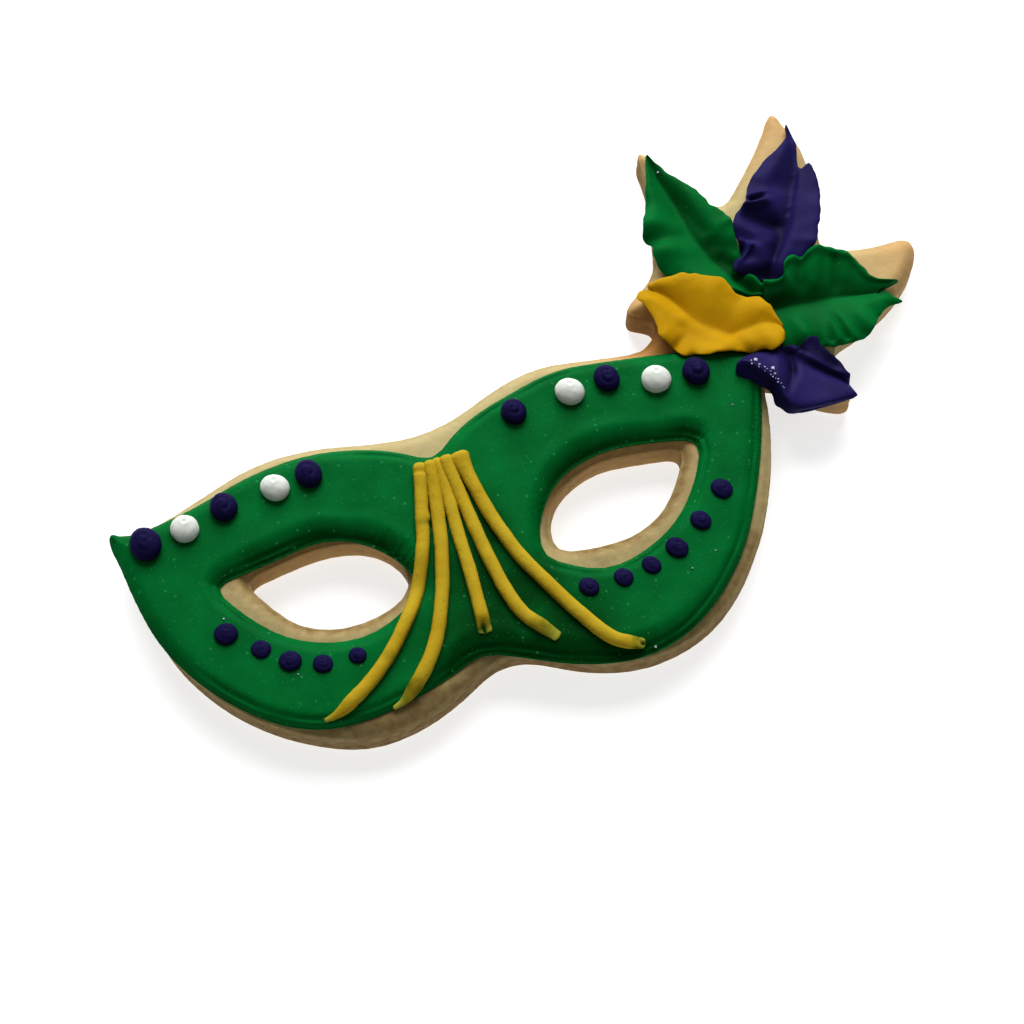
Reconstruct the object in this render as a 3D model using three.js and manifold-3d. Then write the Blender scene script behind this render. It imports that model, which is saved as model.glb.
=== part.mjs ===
// A decorated butter cookie in the shape of a masquerade mask with a plume of five feathers.
// Millimetres, +Z up. The origin is on the flat underside, below the nose bridge; +X runs along
// the mask towards the plume, and +Y from the mask's lower edge to its upper edge.
import * as THREE from "three";
import { mergeVertices } from "three/addons/utils/BufferGeometryUtils.js";
import Module from "manifold-3d";

// Driving dimensions.
const DOUGH_THICKNESS = 6.3; // a quarter-inch sheet of dough
const ICING_THICKNESS = 1.2; // flooded royal icing
const GAP = 0.3; // clearance between icing pieces that lie against each other
const CORNER_ALLOWANCE = 1.6; // keeps the gap at edges, where points move out at a slant
const DOUGH_STEP = 2.2; // distance between the points of the dough's outline
const ICING_STEP = 2.2;
const SAFE_REACH = 0.8; // the share of the free way inwards that a rounded edge may take
const DOUGH_TOP = DOUGH_THICKNESS;
const ICING_TOP = DOUGH_THICKNESS + ICING_THICKNESS;

const wasm = await Module();
wasm.setup();

const doughFinish = new THREE.MeshStandardMaterial({ color: 0xd2ae72, roughness: 0.85 });
const greenIcing = new THREE.MeshStandardMaterial({ color: 0x04672c, roughness: 0.45 });
const yellowIcing = new THREE.MeshStandardMaterial({ color: 0xc9a21c, roughness: 0.5 });
const purpleIcing = new THREE.MeshStandardMaterial({ color: 0x221c50, roughness: 0.45 });
const whiteIcing = new THREE.MeshStandardMaterial({ color: 0xdfe2dc, roughness: 0.45 });

// ---------------------------------------------------------------- outlines

// A closed outline from smooth runs that meet at corners. Each run goes on from the last point
// of the one before it, and the corners are then softened as baking or icing softens them.
function outlineOf(runs, step, softenings) {
  const corners = runs.map((run) => run[run.length - 1]);
  const points = runs.flatMap((run, i) => {
    const start = corners[(i + runs.length - 1) % runs.length];
    const curve = new THREE.SplineCurve([start, ...run].map(([x, y]) => new THREE.Vector2(x, y)));
    const parts = Math.max(2, Math.round(curve.getLength() / step));
    return curve.getSpacedPoints(parts).slice(0, parts);
  });
  return softened(points, softenings);
}

function softened(points, rounds) {
  if (rounds === 0) return points;
  const next = points.map((p, i) => {
    const before = points[(i + points.length - 1) % points.length];
    const after = points[(i + 1) % points.length];
    return new THREE.Vector2(
      (before.x + 2 * p.x + after.x) / 4,
      (before.y + 2 * p.y + after.y) / 4,
    );
  });
  return softened(next, rounds - 1);
}

// The outline turned so that the solid lies on its left: counter-clockwise outside, clockwise
// round a hole.
function turned(points, isHole) {
  const clockwise = THREE.ShapeUtils.isClockWise(points);
  return clockwise === isHole ? points : [...points].reverse();
}

// For each outline point, its normal into the solid and how far it can move along that normal
// before it comes nearer to another part of the outlines.
function reachesOf(loops) {
  const all = loops.flat();
  return loops.map((loop) =>
    loop.map((p, i) => {
      const before = loop[(i + loop.length - 1) % loop.length];
      const after = loop[(i + 1) % loop.length];
      const normal = new THREE.Vector2(before.y - after.y, after.x - before.x).normalize();
      let reach = Infinity;
      for (const q of all) {
        const dx = q.x - p.x;
        const dy = q.y - p.y;
        const ahead = dx * normal.x + dy * normal.y;
        if (ahead > 1e-6) reach = Math.min(reach, (dx * dx + dy * dy) / (2 * ahead));
      }
      return { normal, reach: SAFE_REACH * reach };
    }),
  );
}

// A slab with rounded edges: the outlines are repeated at each level of the edge profile, each
// level moved in from the widest one by its inset, and the ends are closed flat.
function slab(outer, holes, profile) {
  const loops = [turned(outer, false), ...holes.map((hole) => turned(hole, true))];
  const reaches = reachesOf(loops);
  const positions = [];
  const faces = [];
  const rings = profile.map(({ inset, z }) =>
    loops.map((loop, n) =>
      loop.map((p, i) => {
        const { normal, reach } = reaches[n][i];
        const moved = p.clone().addScaledVector(normal, Math.min(inset, reach));
        positions.push(moved.x, moved.y, z);
        return { point: moved, index: positions.length / 3 - 1 };
      }),
    ),
  );
  for (let level = 1; level < rings.length; level++) {
    rings[level].forEach((ring, n) => {
      const below = rings[level - 1][n];
      ring.forEach((v, i) => {
        const j = (i + 1) % ring.length;
        faces.push(below[i].index, below[j].index, ring[j].index);
        faces.push(below[i].index, ring[j].index, v.index);
      });
    });
  }
  const cap = (ring, upwards) => {
    const flat = ring.flat();
    const [contour, ...inner] = ring.map((loop) => loop.map((v) => v.point));
    for (const [a, b, c] of THREE.ShapeUtils.triangulateShape(contour, inner)) {
      const order = upwards ? [a, b, c] : [a, c, b];
      faces.push(...order.map((k) => flat[k].index));
    }
  };
  cap(rings[0], false);
  cap(rings[rings.length - 1], true);
  return closed(positions, faces);
}

function closed(positions, faces) {
  const geometry = new THREE.BufferGeometry();
  geometry.setAttribute("position", new THREE.Float32BufferAttribute(positions, 3));
  geometry.setIndex(faces);
  return geometry;
}

// A rounded edge profile between two heights, with its own radius at the foot and at the top.
function roundedEdge({ bottom, top, footRadius, topRadius, steps }) {
  const profile = [];
  const footSteps = Math.max(1, steps - 2);
  for (let k = 0; k <= footSteps; k++) {
    const angle = (k / footSteps) * (Math.PI / 2);
    profile.push({
      inset: footRadius * (1 - Math.sin(angle)),
      z: bottom + footRadius * (1 - Math.cos(angle)),
    });
  }
  for (let k = 0; k <= steps; k++) {
    const angle = (k / steps) * (Math.PI / 2);
    profile.push({
      inset: topRadius.across * (1 - Math.cos(angle)),
      z: top - topRadius.down * (1 - Math.sin(angle)),
    });
  }
  return profile;
}

// ---------------------------------------------------------------- booleans

function solidOf(geometry) {
  const bare = new THREE.BufferGeometry();
  bare.setAttribute("position", geometry.getAttribute("position"));
  if (geometry.index) bare.setIndex(geometry.index);
  const merged = mergeVertices(bare, 1e-4);
  return new wasm.Manifold(
    new wasm.Mesh({
      numProp: 3,
      vertProperties: merged.attributes.position.array,
      triVerts: new Uint32Array(merged.index.array),
    }),
  );
}

// A copy of a closed shape that is thicker all over, its points moved out along their normals.
function swollen(geometry, by) {
  const thicker = geometry.clone();
  thicker.computeVertexNormals();
  const { position, normal } = thicker.attributes;
  const point = new THREE.Vector3();
  const outward = new THREE.Vector3();
  for (let i = 0; i < position.count; i++) {
    point.fromBufferAttribute(position, i);
    outward.fromBufferAttribute(normal, i);
    point.addScaledVector(outward, by);
    position.setXYZ(i, point.x, point.y, point.z);
  }
  return thicker;
}

// What is left of a shape when its neighbours, each with the gap around it, are cut from it:
// the largest piece.
function cutBack(geometry, neighbours) {
  let solid = solidOf(geometry);
  for (const neighbour of neighbours) {
    solid = solid.subtract(solidOf(swollen(neighbour, GAP * CORNER_ALLOWANCE)));
  }
  const [largest] = solid.decompose().sort((a, b) => b.volume() - a.volume());
  const mesh = largest.getMesh();
  return closed(Array.from(mesh.vertProperties), Array.from(mesh.triVerts));
}

// ---------------------------------------------------------------- dough

// One sheet of dough: the mask's lower edge, the five feather points and the mask's upper edge.
const doughOutline = outlineOf(
  [
    // The mask's lower edge, from the left tip to the corner where the lowest feather leaves it.
    [
      [-46.2, 9], [-43.8, -2], [-38.4, -11], [-31, -17.6], [-22, -21.8], [-13.5, -21.6], [-6, -18.9],
      [-2.4, -16.9], [0.9, -16.3], [4.5, -17.2], [11, -20.8], [19, -22.9], [28, -21.6],
      [35.6, -16.8], [42.4, -8.6], [47.3, 1.2], [49.7, 9], [50.6, 14],
    ],
    // The lowest feather.
    [[54.8, 9.6], [58.6, 6.7], [62.3, 5.2]],
    [[61.7, 10.4], [62, 15]],
    // The right feather, with its blunt end.
    [[68.1, 16.8], [74.1, 19.6], [78.9, 23.6], [80.5, 26.4], [80.9, 28.7]],
    [[78.6, 29], [73.4, 29.1], [66.4, 31]],
    // The top feather.
    [[68.3, 36], [69.9, 42], [70.6, 48], [69.8, 53], [68, 57]],
    [[66.4, 54.2], [62.2, 49.3], [58.2, 45.3], [55, 42.2]],
    // The upper left feather, with its round end.
    [[52.2, 45.6], [49.4, 50.8], [47.6, 55.2]],
    [[46.5, 56.7], [45.3, 55.2], [45.8, 51.8], [43.9, 43.5], [42.5, 38], [40.3, 34]],
    // The left feather, with its rounded end.
    [[38.4, 32.9], [35.2, 31.1], [33.9, 29.6], [35, 28.9], [38.9, 27.7]],
    [[37.8, 25.2], [35.2, 23.1]],
    // The mask's upper edge, back to the left tip.
    [
      [28.4, 24.2], [19.5, 25.5], [12.4, 24.3], [6, 21.8], [0.6, 20.6], [-4.6, 20.8], [-11, 22.2],
      [-18.6, 23.6], [-26.4, 23.2], [-34, 20.8], [-40.6, 18.8], [-47.3, 17.4],
    ],
  ],
  DOUGH_STEP,
  1,
);

// The left eye has one corner, at its outer end.
const leftEyeInDough = outlineOf(
  [
    [
      [-27.8, -0.1], [-24.4, -3.5], [-18.6, -5.1], [-12.5, -4.3], [-9, -1.9], [-8.9, 1.4], [-11.4, 5.2],
      [-15.2, 7.2], [-21.2, 7.8], [-31.6, 6.4],
    ],
  ],
  DOUGH_STEP,
  1,
);

// The right eye has a corner at each end.
const rightEyeInDough = outlineOf(
  [
    [[31.2, -0.2], [26.4, -3.8], [20, -4.7], [12.3, -3.4]],
    [[13.3, 2], [16.6, 5.9], [22.6, 8.1], [28.6, 7.6], [35.6, 6.4]],
  ],
  DOUGH_STEP,
  1,
);

const dough = slab(
  doughOutline,
  [leftEyeInDough, rightEyeInDough],
  roundedEdge({
    bottom: 0,
    top: DOUGH_TOP,
    footRadius: 0.5,
    topRadius: { across: 1.5, down: 1.3 },
    steps: 3,
  }),
);

// ---------------------------------------------------------------- green flood icing

const icingOutline = outlineOf(
  [
    // The lower edge, from the left horn to the middle of the bridge.
    [
      [-47.7, 14.6], [-46.8, 7.2], [-45, -0.4], [-40.6, -8.4], [-34, -15.4], [-27.4, -19],
      [-20.4, -19.7], [-13, -18.7], [-7, -17], [-2.6, -15.3],
    ],
    // On to the right, round the lobe and up to the corner that the lowest feather covers.
    [
      [3.2, -18.1], [9.4, -21.1], [17.6, -23.1], [25.2, -21.9], [32.2, -17.7], [38.6, -11.1],
      [44.4, -1.1], [48.2, 8], [49.5, 14.6],
    ],
    // The upper edge, with a notch above the bridge that leaves the dough bare.
    [[42, 19.2], [31.5, 21.5], [20.8, 22.9], [11.8, 21.6], [5, 19.1], [-0.2, 15.2]],
    [[-3.4, 17.6], [-9, 20.2], [-17, 21.9], [-26, 21.4], [-35, 19.1], [-42, 17.9], [-46.4, 17.6]],
    // The horn, where the bag was pulled away.
    [[-47, 19.4], [-48.6, 18.4]],
  ],
  ICING_STEP,
  1,
);

const leftEyeInIcing = outlineOf(
  [
    [[-8.6, 0], [-13, 5.4], [-19, 8.1], [-27, 7.2], [-35.7, 6.2]],
    [[-32.6, 0.9], [-28, -4.2], [-22, -7.1], [-15.4, -7.4], [-7.9, -3.8]],
  ],
  ICING_STEP,
  1,
);

const rightEyeInIcing = outlineOf(
  [
    [[35.2, 1], [30.3, -4.6], [24, -7.8], [17.4, -8.5], [10.2, -4.2]],
    [[11.5, 1.1], [16.2, 6.5], [23.4, 8.7], [31, 7.9], [37.7, 6.2]],
  ],
  ICING_STEP,
  1,
);

const floodIcing = slab(
  icingOutline,
  [leftEyeInIcing, rightEyeInIcing],
  roundedEdge({
    bottom: DOUGH_TOP,
    top: ICING_TOP,
    footRadius: 0.25,
    topRadius: { across: 1.3, down: 0.9 },
    steps: 2,
  }),
);

// ---------------------------------------------------------------- piped lines

const LINE_WIDTH = 2.05;
const LINE_HEIGHT = 1.3;
const CROWDED_WIDTH = 1.35; // a line's width at the top, where the five lie side by side
const CROWDED_LENGTH = 3; // a line is that narrow along this much of its length
const FULL_WIDTH_FROM = 13; // and has its full width from here on
const END_SHARE = 0.6; // how much of its section a line keeps at its very ends
const SHOULDER = 0.35; // the height of a line's widest point, as a share of its height
const LINE_FOOT = 0.38; // half the width of a line's foot, as a share of its width
const LINE_STEP = 2;

// Each line starts at the top of the bridge and trails off where the bag was lifted away.
const lineRoutes = [
  [
    [-2.4, 15.2], [-3.2, 11.6], [-4.2, 8.2], [-5.3, 3.8], [-7, -1.1], [-9.6, -5.8], [-13.8, -10.5],
    [-18.8, -14.7], [-23.4, -17.3], [-26.6, -18],
  ],
  [
    [-0.9, 15], [-1.5, 10.6], [-2.2, 6.6], [-3.2, 2.2], [-4.6, -3.1], [-6.6, -8.6], [-9.4, -13.7],
    [-13, -17.5], [-16.9, -19.4],
  ],
  [[0.65, 14.8], [0.2, 10], [-0.2, 5], [-0.4, -0.4], [-0.8, -6.7], [-1.4, -12.6]],
  [[2.2, 14.8], [2, 10], [2.2, 4.6], [2.5, -1.3], [3.1, -7.2], [4.5, -12.2], [7.9, -16.6]],
  [
    [3.9, 15], [4.2, 9.4], [4.9, 4.4], [6, -0.9], [8, -6.4], [10.9, -12.4], [14.6, -18.6],
    [16.8, -20.8], [19.1, -21.4],
  ],
];

// A half-round bead with a flat foot. It is narrow at the top, where the five lines crowd
// together, and thins out at its tail.
function bead(route) {
  const curve = new THREE.SplineCurve(route.map(([x, y]) => new THREE.Vector2(x, y)));
  const steps = Math.round(curve.getLength() / LINE_STEP);
  const arc = [0, 0.25, 0.5, 0.75, 1].map((share) => share * Math.PI);
  const positions = [];
  const faces = [];
  for (let k = 0; k <= steps; k++) {
    const t = k / steps;
    const point = curve.getPointAt(t);
    const along = curve.getTangentAt(t);
    const spread = THREE.MathUtils.smoothstep(
      t * curve.getLength(),
      CROWDED_LENGTH,
      FULL_WIDTH_FROM,
    );
    const width = THREE.MathUtils.lerp(CROWDED_WIDTH, LINE_WIDTH, spread);
    const end = k === 0 || k === steps ? END_SHARE : 1;
    const place = (across, up) => {
      positions.push(point.x + along.y * across, point.y - along.x * across, ICING_TOP + up);
    };
    for (const angle of arc) {
      const up = SHOULDER + (1 - SHOULDER) * Math.sin(angle);
      place(Math.cos(angle) * (width / 2) * end, up * LINE_HEIGHT * end);
    }
    for (const side of [-1, 1]) place(side * LINE_FOOT * width * end, 0);
  }
  const around = arc.length + 2;
  for (let k = 0; k < steps; k++) {
    for (let i = 0; i < around; i++) {
      const j = (i + 1) % around;
      const a = k * around;
      const b = a + around;
      faces.push(a + i, b + i, b + j, a + i, b + j, a + j);
    }
  }
  for (let i = 1; i < around - 1; i++) {
    const last = steps * around;
    faces.push(0, i, i + 1, last, last + i + 1, last + i);
  }
  return closed(positions, faces);
}

// ---------------------------------------------------------------- piped dots

// [x, y, diameter] along each row, from the mask's outer end inwards.
const purpleDots = {
  brow_left: [[-43.1, 14.9, 4.6], [-31, 17, 4], [-18, 18.2, 4]],
  brow_right: [[40.7, 16.1, 4], [27.9, 19.2, 3.9], [13.2, 18.3, 3.7]],
  cheek_left: [
    [-35.9, -1.7, 3.3], [-31.9, -5.4, 2.8], [-28.5, -8.4, 3.1], [-24.3, -10.2, 2.8], [-19.4, -10.5, 2.6],
  ],
  cheek_right: [
    [37.7, -2.7, 3.2], [33.1, -6.4, 3.1], [28.4, -9.3, 3.3], [24.1, -10.7, 2.8], [19.7, -11.2, 2.8],
    [14.6, -11, 2.9],
  ],
};
const whiteDots = {
  brow_left: [[-37.2, 15.5, 4.3], [-23.2, 17.6, 4.3]],
  brow_right: [[34.7, 16.7, 4.7], [22, 18.8, 4.6]],
};
const DOT_SIDES = 9;
const DOT_RISE = 0.52; // a dot's height as a share of its diameter

// A drop of icing: narrow at the foot, full above it, with a dimple where the tip lifted off.
function dot(diameter) {
  const radius = diameter / 2;
  const height = DOT_RISE * diameter;
  const profile = [
    [0, 0], [0.86, 0], [1, 0.3], [0.86, 0.72], [0.45, 0.98], [0, 0.93],
  ].map(([across, up]) => new THREE.Vector2(across * radius, up * height));
  return new THREE.LatheGeometry(profile, DOT_SIDES);
}

// ---------------------------------------------------------------- feathers

// A feather is piped with a leaf tip: two flaps that rise from a groove down the middle to a
// thin ruffled edge, on a narrower foot. The three rails run from the base to the point, and
// each rail point is [x, y, height above the dough].
const FLAP_LIP = 0.9; // thickness of a flap at its edge
const FLAP_SWELL = 0.7; // under 1, a flap rises steeply beside the groove and levels out
const FOOT_SHARE = 0.62; // the foot's width as a share of the flaps'
const feathers = {
  green_left: {
    left: [
      [50.6, 27.2, 2.2], [45.6, 30.6, 2.2], [42.3, 32.7, 2.6], [41.3, 35.6, 3.3], [42, 38, 2.3],
      [41, 40.2, 3.4], [42.7, 43.8, 2.7], [44.2, 47.2, 2.3], [45.6, 51, 1.9], [46.3, 53.3, 1.4],
    ],
    groove: [
      [53.2, 27.6, 1.1], [49.6, 32, 1.2], [48.1, 36.2, 1.3], [47.4, 41.2, 1.3], [47, 46.8, 1.2],
      [46.6, 53.8, 1],
    ],
    right: [
      [54.9, 27.6, 1.9], [54.1, 31, 2.4], [54.6, 34.6, 3.4], [54.2, 37.1, 2.5], [54.6, 39.5, 3.4],
      [52.7, 42.6, 2.6], [51.7, 45.7, 2.6], [49.3, 49.4, 2.1], [48, 51.8, 1.8], [47.2, 53.4, 1.4],
    ],
  },
  purple_top: {
    left: [
      [54.6, 28.8, 2.4], [52, 30.2, 3], [54.4, 32.6, 2.6], [54.1, 36.8, 3.6], [57.2, 40.2, 3.2],
      [58.4, 42.6, 3.6], [61, 45.4, 3], [64.6, 47.8, 2.4], [67.5, 49.8, 1.9], [68.8, 51.9, 1.4],
    ],
    groove: [
      [57.4, 28, 1.2], [60, 31.6, 1.4], [63, 36, 1.5], [65.8, 40.4, 1.4], [67.6, 45.6, 1.3],
      [69.1, 52.1, 1],
    ],
    right: [
      [60, 27.6, 2], [64.4, 29.8, 2.4], [66.3, 32.6, 2.8], [68.4, 36.8, 2.7], [69.8, 41.3, 2.5],
      [69.5, 44, 2.1], [68.5, 45, 1.7], [69.2, 48, 1.7], [69.4, 51.7, 1.4],
    ],
  },
  green_right: {
    left: [
      [54.9, 26.4, 2.2], [57.6, 26.4, 3.2], [59.6, 29, 3.9], [62.4, 29.2, 3.1], [65.2, 29.6, 3.4],
      [69, 28, 2.9], [71.1, 25.2, 2.5], [73.2, 22.8, 2], [75.1, 21.4, 1.4],
    ],
    groove: [
      [54.4, 21.4, 1.1], [60, 21.4, 1.2], [66, 21, 1.2], [70.8, 20.6, 1.1], [74.7, 19.9, 0.9],
    ],
    right: [
      [54.6, 16.6, 2], [58, 15, 2.6], [61, 13.2, 3.2], [63.4, 13.5, 2.5], [66.4, 13.8, 3.1],
      [69.2, 15.3, 2.6], [71.5, 17.1, 2.2], [74.8, 18, 1.4],
    ],
  },
  purple_low: {
    left: [
      [56.8, 15.4, 2.2], [59.3, 16.2, 2.9], [60.6, 13, 2.8], [61.7, 10.6, 2.3], [62.5, 8.3, 1.5],
    ],
    groove: [[52.4, 15.4, 2.2], [55, 13.6, 1.9], [57.6, 11.4, 1.5], [61.7, 7.6, 1]],
    right: [
      [48.2, 16, 3.6], [46, 14.2, 3.6], [48.6, 11.6, 4.3], [49.9, 8.4, 3.9], [51.9, 5.4, 3.2],
      [56, 4.8, 2.3], [62.5, 5.1, 1.4],
    ],
  },
  yellow: {
    left: [
      [55, 15.7, 3.6], [51.8, 15.7, 3.4], [49, 16.9, 2.9], [44.6, 17.4, 2.7], [42, 18.3, 2.2],
      [39.4, 19.3, 3], [38.6, 21.6, 2.4], [37.3, 24, 3.2], [37.2, 27.4, 2.9], [36.6, 30.4, 2.8],
      [38.4, 31, 1.7],
    ],
    groove: [
      [55.3, 16.7, 2.9], [52.8, 18.2, 1.9], [49.6, 19.8, 1.6], [45.6, 22.2, 1.5], [42, 26.8, 1.4],
      [39.4, 31.2, 1.1],
    ],
    right: [
      [55.7, 17.4, 3.2], [55.3, 22, 3.5], [54.2, 25.2, 3.2], [51, 27.2, 2.6], [50, 29.9, 3.2],
      [46.4, 31.9, 2.9], [43, 32.5, 2.5], [40, 32.6, 2.2], [39.4, 31.7, 1.7],
    ],
  },
};
// The order in which they were piped: each one lies over those before it.
const pipingOrder = ["green_left", "purple_top", "green_right", "purple_low", "yellow"];

const FLAP_STEPS = 14;
const FLAP_STATIONS = [-1, -0.75, -0.5, -0.25, 0, 0.25, 0.5, 0.75, 1];

// The closed loft of one feather.
function feather({ left, groove, right }) {
  const rails = [left, groove, right].map(
    (rail) => new THREE.CatmullRomCurve3(rail.map(([x, y, z]) => new THREE.Vector3(x, y, z))),
  );
  const positions = [];
  const faces = [];
  const put = (p, z) => positions.push(p.x, p.y, z);
  const around = FLAP_STATIONS.length + 4;
  for (let k = 0; k <= FLAP_STEPS; k++) {
    const [l, m, r] = rails.map((rail) => rail.getPointAt(k / FLAP_STEPS));
    const at = (u) => {
      const edge = u < 0 ? l : r;
      const share = Math.abs(u);
      const p = m.clone().lerp(edge, share);
      p.z = THREE.MathUtils.lerp(m.z, edge.z, share ** FLAP_SWELL);
      return p;
    };
    for (const u of [...FLAP_STATIONS].reverse()) {
      const p = at(u);
      put(p, DOUGH_TOP + p.z);
    }
    for (const u of [-1, -FOOT_SHARE, FOOT_SHARE, 1]) {
      const p = at(u);
      const lift = Math.abs(u) === 1 ? Math.max(0, p.z - FLAP_LIP) : 0;
      put(p, DOUGH_TOP + lift);
    }
  }
  for (let k = 0; k < FLAP_STEPS; k++) {
    for (let i = 0; i < around; i++) {
      const j = (i + 1) % around;
      const a = k * around;
      const b = a + around;
      faces.push(a + i, b + i, b + j, a + i, b + j, a + j);
    }
  }
  // The end rings are closed strip by strip between the top and the underside.
  const n = FLAP_STATIONS.length;
  const endFaces = (first, turn) => {
    const top = (i) => first + i;
    const under = [first + n + 3, first + n + 2, first + n + 1, first + n];
    const strips = [
      [under[0], top(0), top(1)], [under[0], top(1), under[1]], [under[1], top(1), top(2)],
      [under[1], top(2), top(3)], [under[1], top(3), top(4)], [under[1], top(4), under[2]],
      [under[2], top(4), top(5)], [under[2], top(5), top(6)], [under[2], top(6), top(7)],
      [under[2], top(7), under[3]], [under[3], top(7), top(8)],
    ];
    for (const [a, b, c] of strips) faces.push(...(turn ? [a, c, b] : [a, b, c]));
  };
  endFaces(0, false);
  endFaces(FLAP_STEPS * around, true);
  return closed(positions, faces);
}

// ---------------------------------------------------------------- assembly

const cookie = new THREE.Group();

function add(parent, name, geometry, material) {
  const mesh = new THREE.Mesh(geometry, material);
  mesh.name = name;
  parent.add(mesh);
  return mesh;
}

add(cookie, "dough", dough, doughFinish);
add(cookie, "flood_icing", floodIcing, greenIcing);

const lines = new THREE.Group();
lineRoutes.forEach((route, i) => add(lines, `line_${i + 1}`, bead(route), yellowIcing));
cookie.add(lines);

const dots = new THREE.Group();
for (const [colour, rows, finish] of [
  ["purple", purpleDots, purpleIcing],
  ["white", whiteDots, whiteIcing],
]) {
  for (const [row, places] of Object.entries(rows)) {
    places.forEach(([x, y, diameter], i) => {
      const mesh = add(dots, `dot_${colour}_${row}_${i + 1}`, dot(diameter), finish);
      mesh.rotation.x = Math.PI / 2;
      mesh.position.set(x, y, ICING_TOP);
    });
  }
}
cookie.add(dots);

const plume = new THREE.Group();
const featherFinish = { green: greenIcing, purple: purpleIcing, yellow: yellowIcing };
pipingOrder.forEach((name, i) => {
  const over = pipingOrder.slice(i + 1).map((other) => feather(feathers[other]));
  const shape = cutBack(feather(feathers[name]), [floodIcing, ...over]);
  const finish = featherFinish[name.split("_")[0]];
  add(plume, `feather_${name}`, shape, finish);
});
cookie.add(plume);

export default cookie;
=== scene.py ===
import math
import random

import bmesh
import bpy
from mathutils import Euler, Matrix, Vector, noise
from mathutils.bvhtree import BVHTree
from mathutils.geometry import intersect_point_line
from mathutils.kdtree import KDTree


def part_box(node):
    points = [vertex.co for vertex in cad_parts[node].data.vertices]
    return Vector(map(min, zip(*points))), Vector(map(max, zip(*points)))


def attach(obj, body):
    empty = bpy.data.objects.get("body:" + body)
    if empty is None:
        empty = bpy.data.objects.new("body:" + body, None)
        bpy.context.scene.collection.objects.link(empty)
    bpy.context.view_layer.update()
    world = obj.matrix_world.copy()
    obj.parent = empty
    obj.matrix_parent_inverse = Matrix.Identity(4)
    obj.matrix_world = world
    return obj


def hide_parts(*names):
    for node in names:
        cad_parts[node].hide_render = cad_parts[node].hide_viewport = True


# A decorated butter cookie: a masquerade mask with a plume of five feathers, in royal icing.
# Lengths are in millimetres, and MM turns them into metres where they go into a mesh.
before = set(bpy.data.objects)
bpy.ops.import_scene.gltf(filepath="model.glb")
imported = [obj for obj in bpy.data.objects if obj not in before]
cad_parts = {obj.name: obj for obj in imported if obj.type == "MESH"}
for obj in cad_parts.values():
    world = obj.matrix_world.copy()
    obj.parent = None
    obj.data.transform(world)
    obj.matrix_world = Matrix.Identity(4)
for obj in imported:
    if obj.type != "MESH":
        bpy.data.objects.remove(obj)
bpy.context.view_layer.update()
MM = 0.001

# ---------------------------------------------------------------- the baked cookie
# A sheet of butter dough rolled a quarter of an inch thick, cut out as a mask with a plume and
# baked until its points just brown. The eye holes are cut by hand, and a faint crease runs round
# the walls where the dough rose.
DOUGH_THICKNESS = 6.3
DOUGH_SPACING = 0.4  # between the points of its skin
DOUGH_SMOOTHING = 5
DOUGH_SWELLS = [(0.10, 12.0, 0.0), (0.06, 3.5, 1.0), (0.04, 0.9, 2.0)]  # height, size and seed
FLAT_BELOW = 0.3  # the underside stays flat up to here
UNEVEN_ABOVE = 1.5  # and from here up the dough is fully uneven
CREASE_HEIGHT = 3.3
CREASE_WANDER = 0.6  # how far the crease strays up and down
CREASE_WIDTH = 0.4
CREASE_DEPTH = 0.12
EDGE_ROUNDED = 0.5  # the baked edges are rounded down by this much
HOLLOWED = 0.8  # and the cut edges of the eye holes worn down by this much
EDGE_WIDTH = 2.4
EDGE_BROWNED = 0.35
EYES = [(-24.0, 1.5, 15.0), (27.0, 2.5, 15.0)]  # x, y and reach of the browning and painted shade round the eye holes
PAINTED_LIGHT_RIMS = [  # x, y and reach: the far sides of the eye holes, in the icing's shadow, get painted light
    (-28.0, 7.5, 3.5), (-22.8, 8.6, 4.0), (-17.0, 7.6, 4.0), (-12.0, 4.5, 3.5), (15.5, 5.0, 3.5),
    (20.5, 8.2, 4.0), (26.0, 8.8, 4.0), (31.0, 8.2, 4.0), (35.2, 7.0, 2.0),
]
TOASTED_POINTS = [  # x, y and how far the browning reaches
    (46.3, 57.0, 4.5), (68.0, 57.5, 11.0), (81.0, 28.5, 12.0), (62.5, 5.0, 6.0), (33.5, 29.5, 8.0),
    (39.0, 19.5, 5.0),
]
TOASTED_AND_SHADED_HOLLOWS = [(36.0, 24.0, 5.0), (38.0, 18.5, 4.0)]  # x, y and reach of a darker toast, partly painted shade from the feathers over them
HOLLOW_TOAST_AND_SHADE = 1.5  # over 1 the toasting turns from golden to the darker toasted colour, partly painted shade
RIM_PAINTED_LIGHT = 0.85  # how golden the painted light makes the far rims
FOOT_TOAST = 0.3  # and the foot of the walls
WALL_BROWN_AND_SHADE = 0.95  # how dark the walls are at their foot: baked browning together with painted shade
WALL_TOP_PALER = 0.25  # and how much less at their top
PLUME_PALER = 0.6  # the walls of the plume get this much less of that browning and painted shade
NEAR_PAINTED_SHADE = 0.85  # how much painted shade the top has along the near side, which slopes away from the light
# Where one look gives way to another, as the low and the high end of a smooth step.
TOP_BEGINS = (4.5, 6.0)  # the height at which a wall turns into the top
WALL_BEGINS = (0.2, 0.85)  # how upright the dough stands where it takes the walls' browning and painted shade
WALL_PALES = (3.0, 6.2)  # the height at which a wall gets paler
PLUME_BEGINS = (52, 60)  # in x
NEAR_BEGINS = (4.0, 12.0)  # how far towards the near side the top's painted shade sets in
POINTS = [  # x and y of the sharpest points and how far each is drawn out
    (68.9, 55.6, 0.7), (46.8, 55.2, 0.35), (79.0, 32.5, 0.35),
]
POINT_REACH = 1.6
PLUME_FOOT = (55, 25, 0)
DOUGH_PALE = (188, 176, 130)
DOUGH_GOLDEN = (202, 166, 115)
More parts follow.
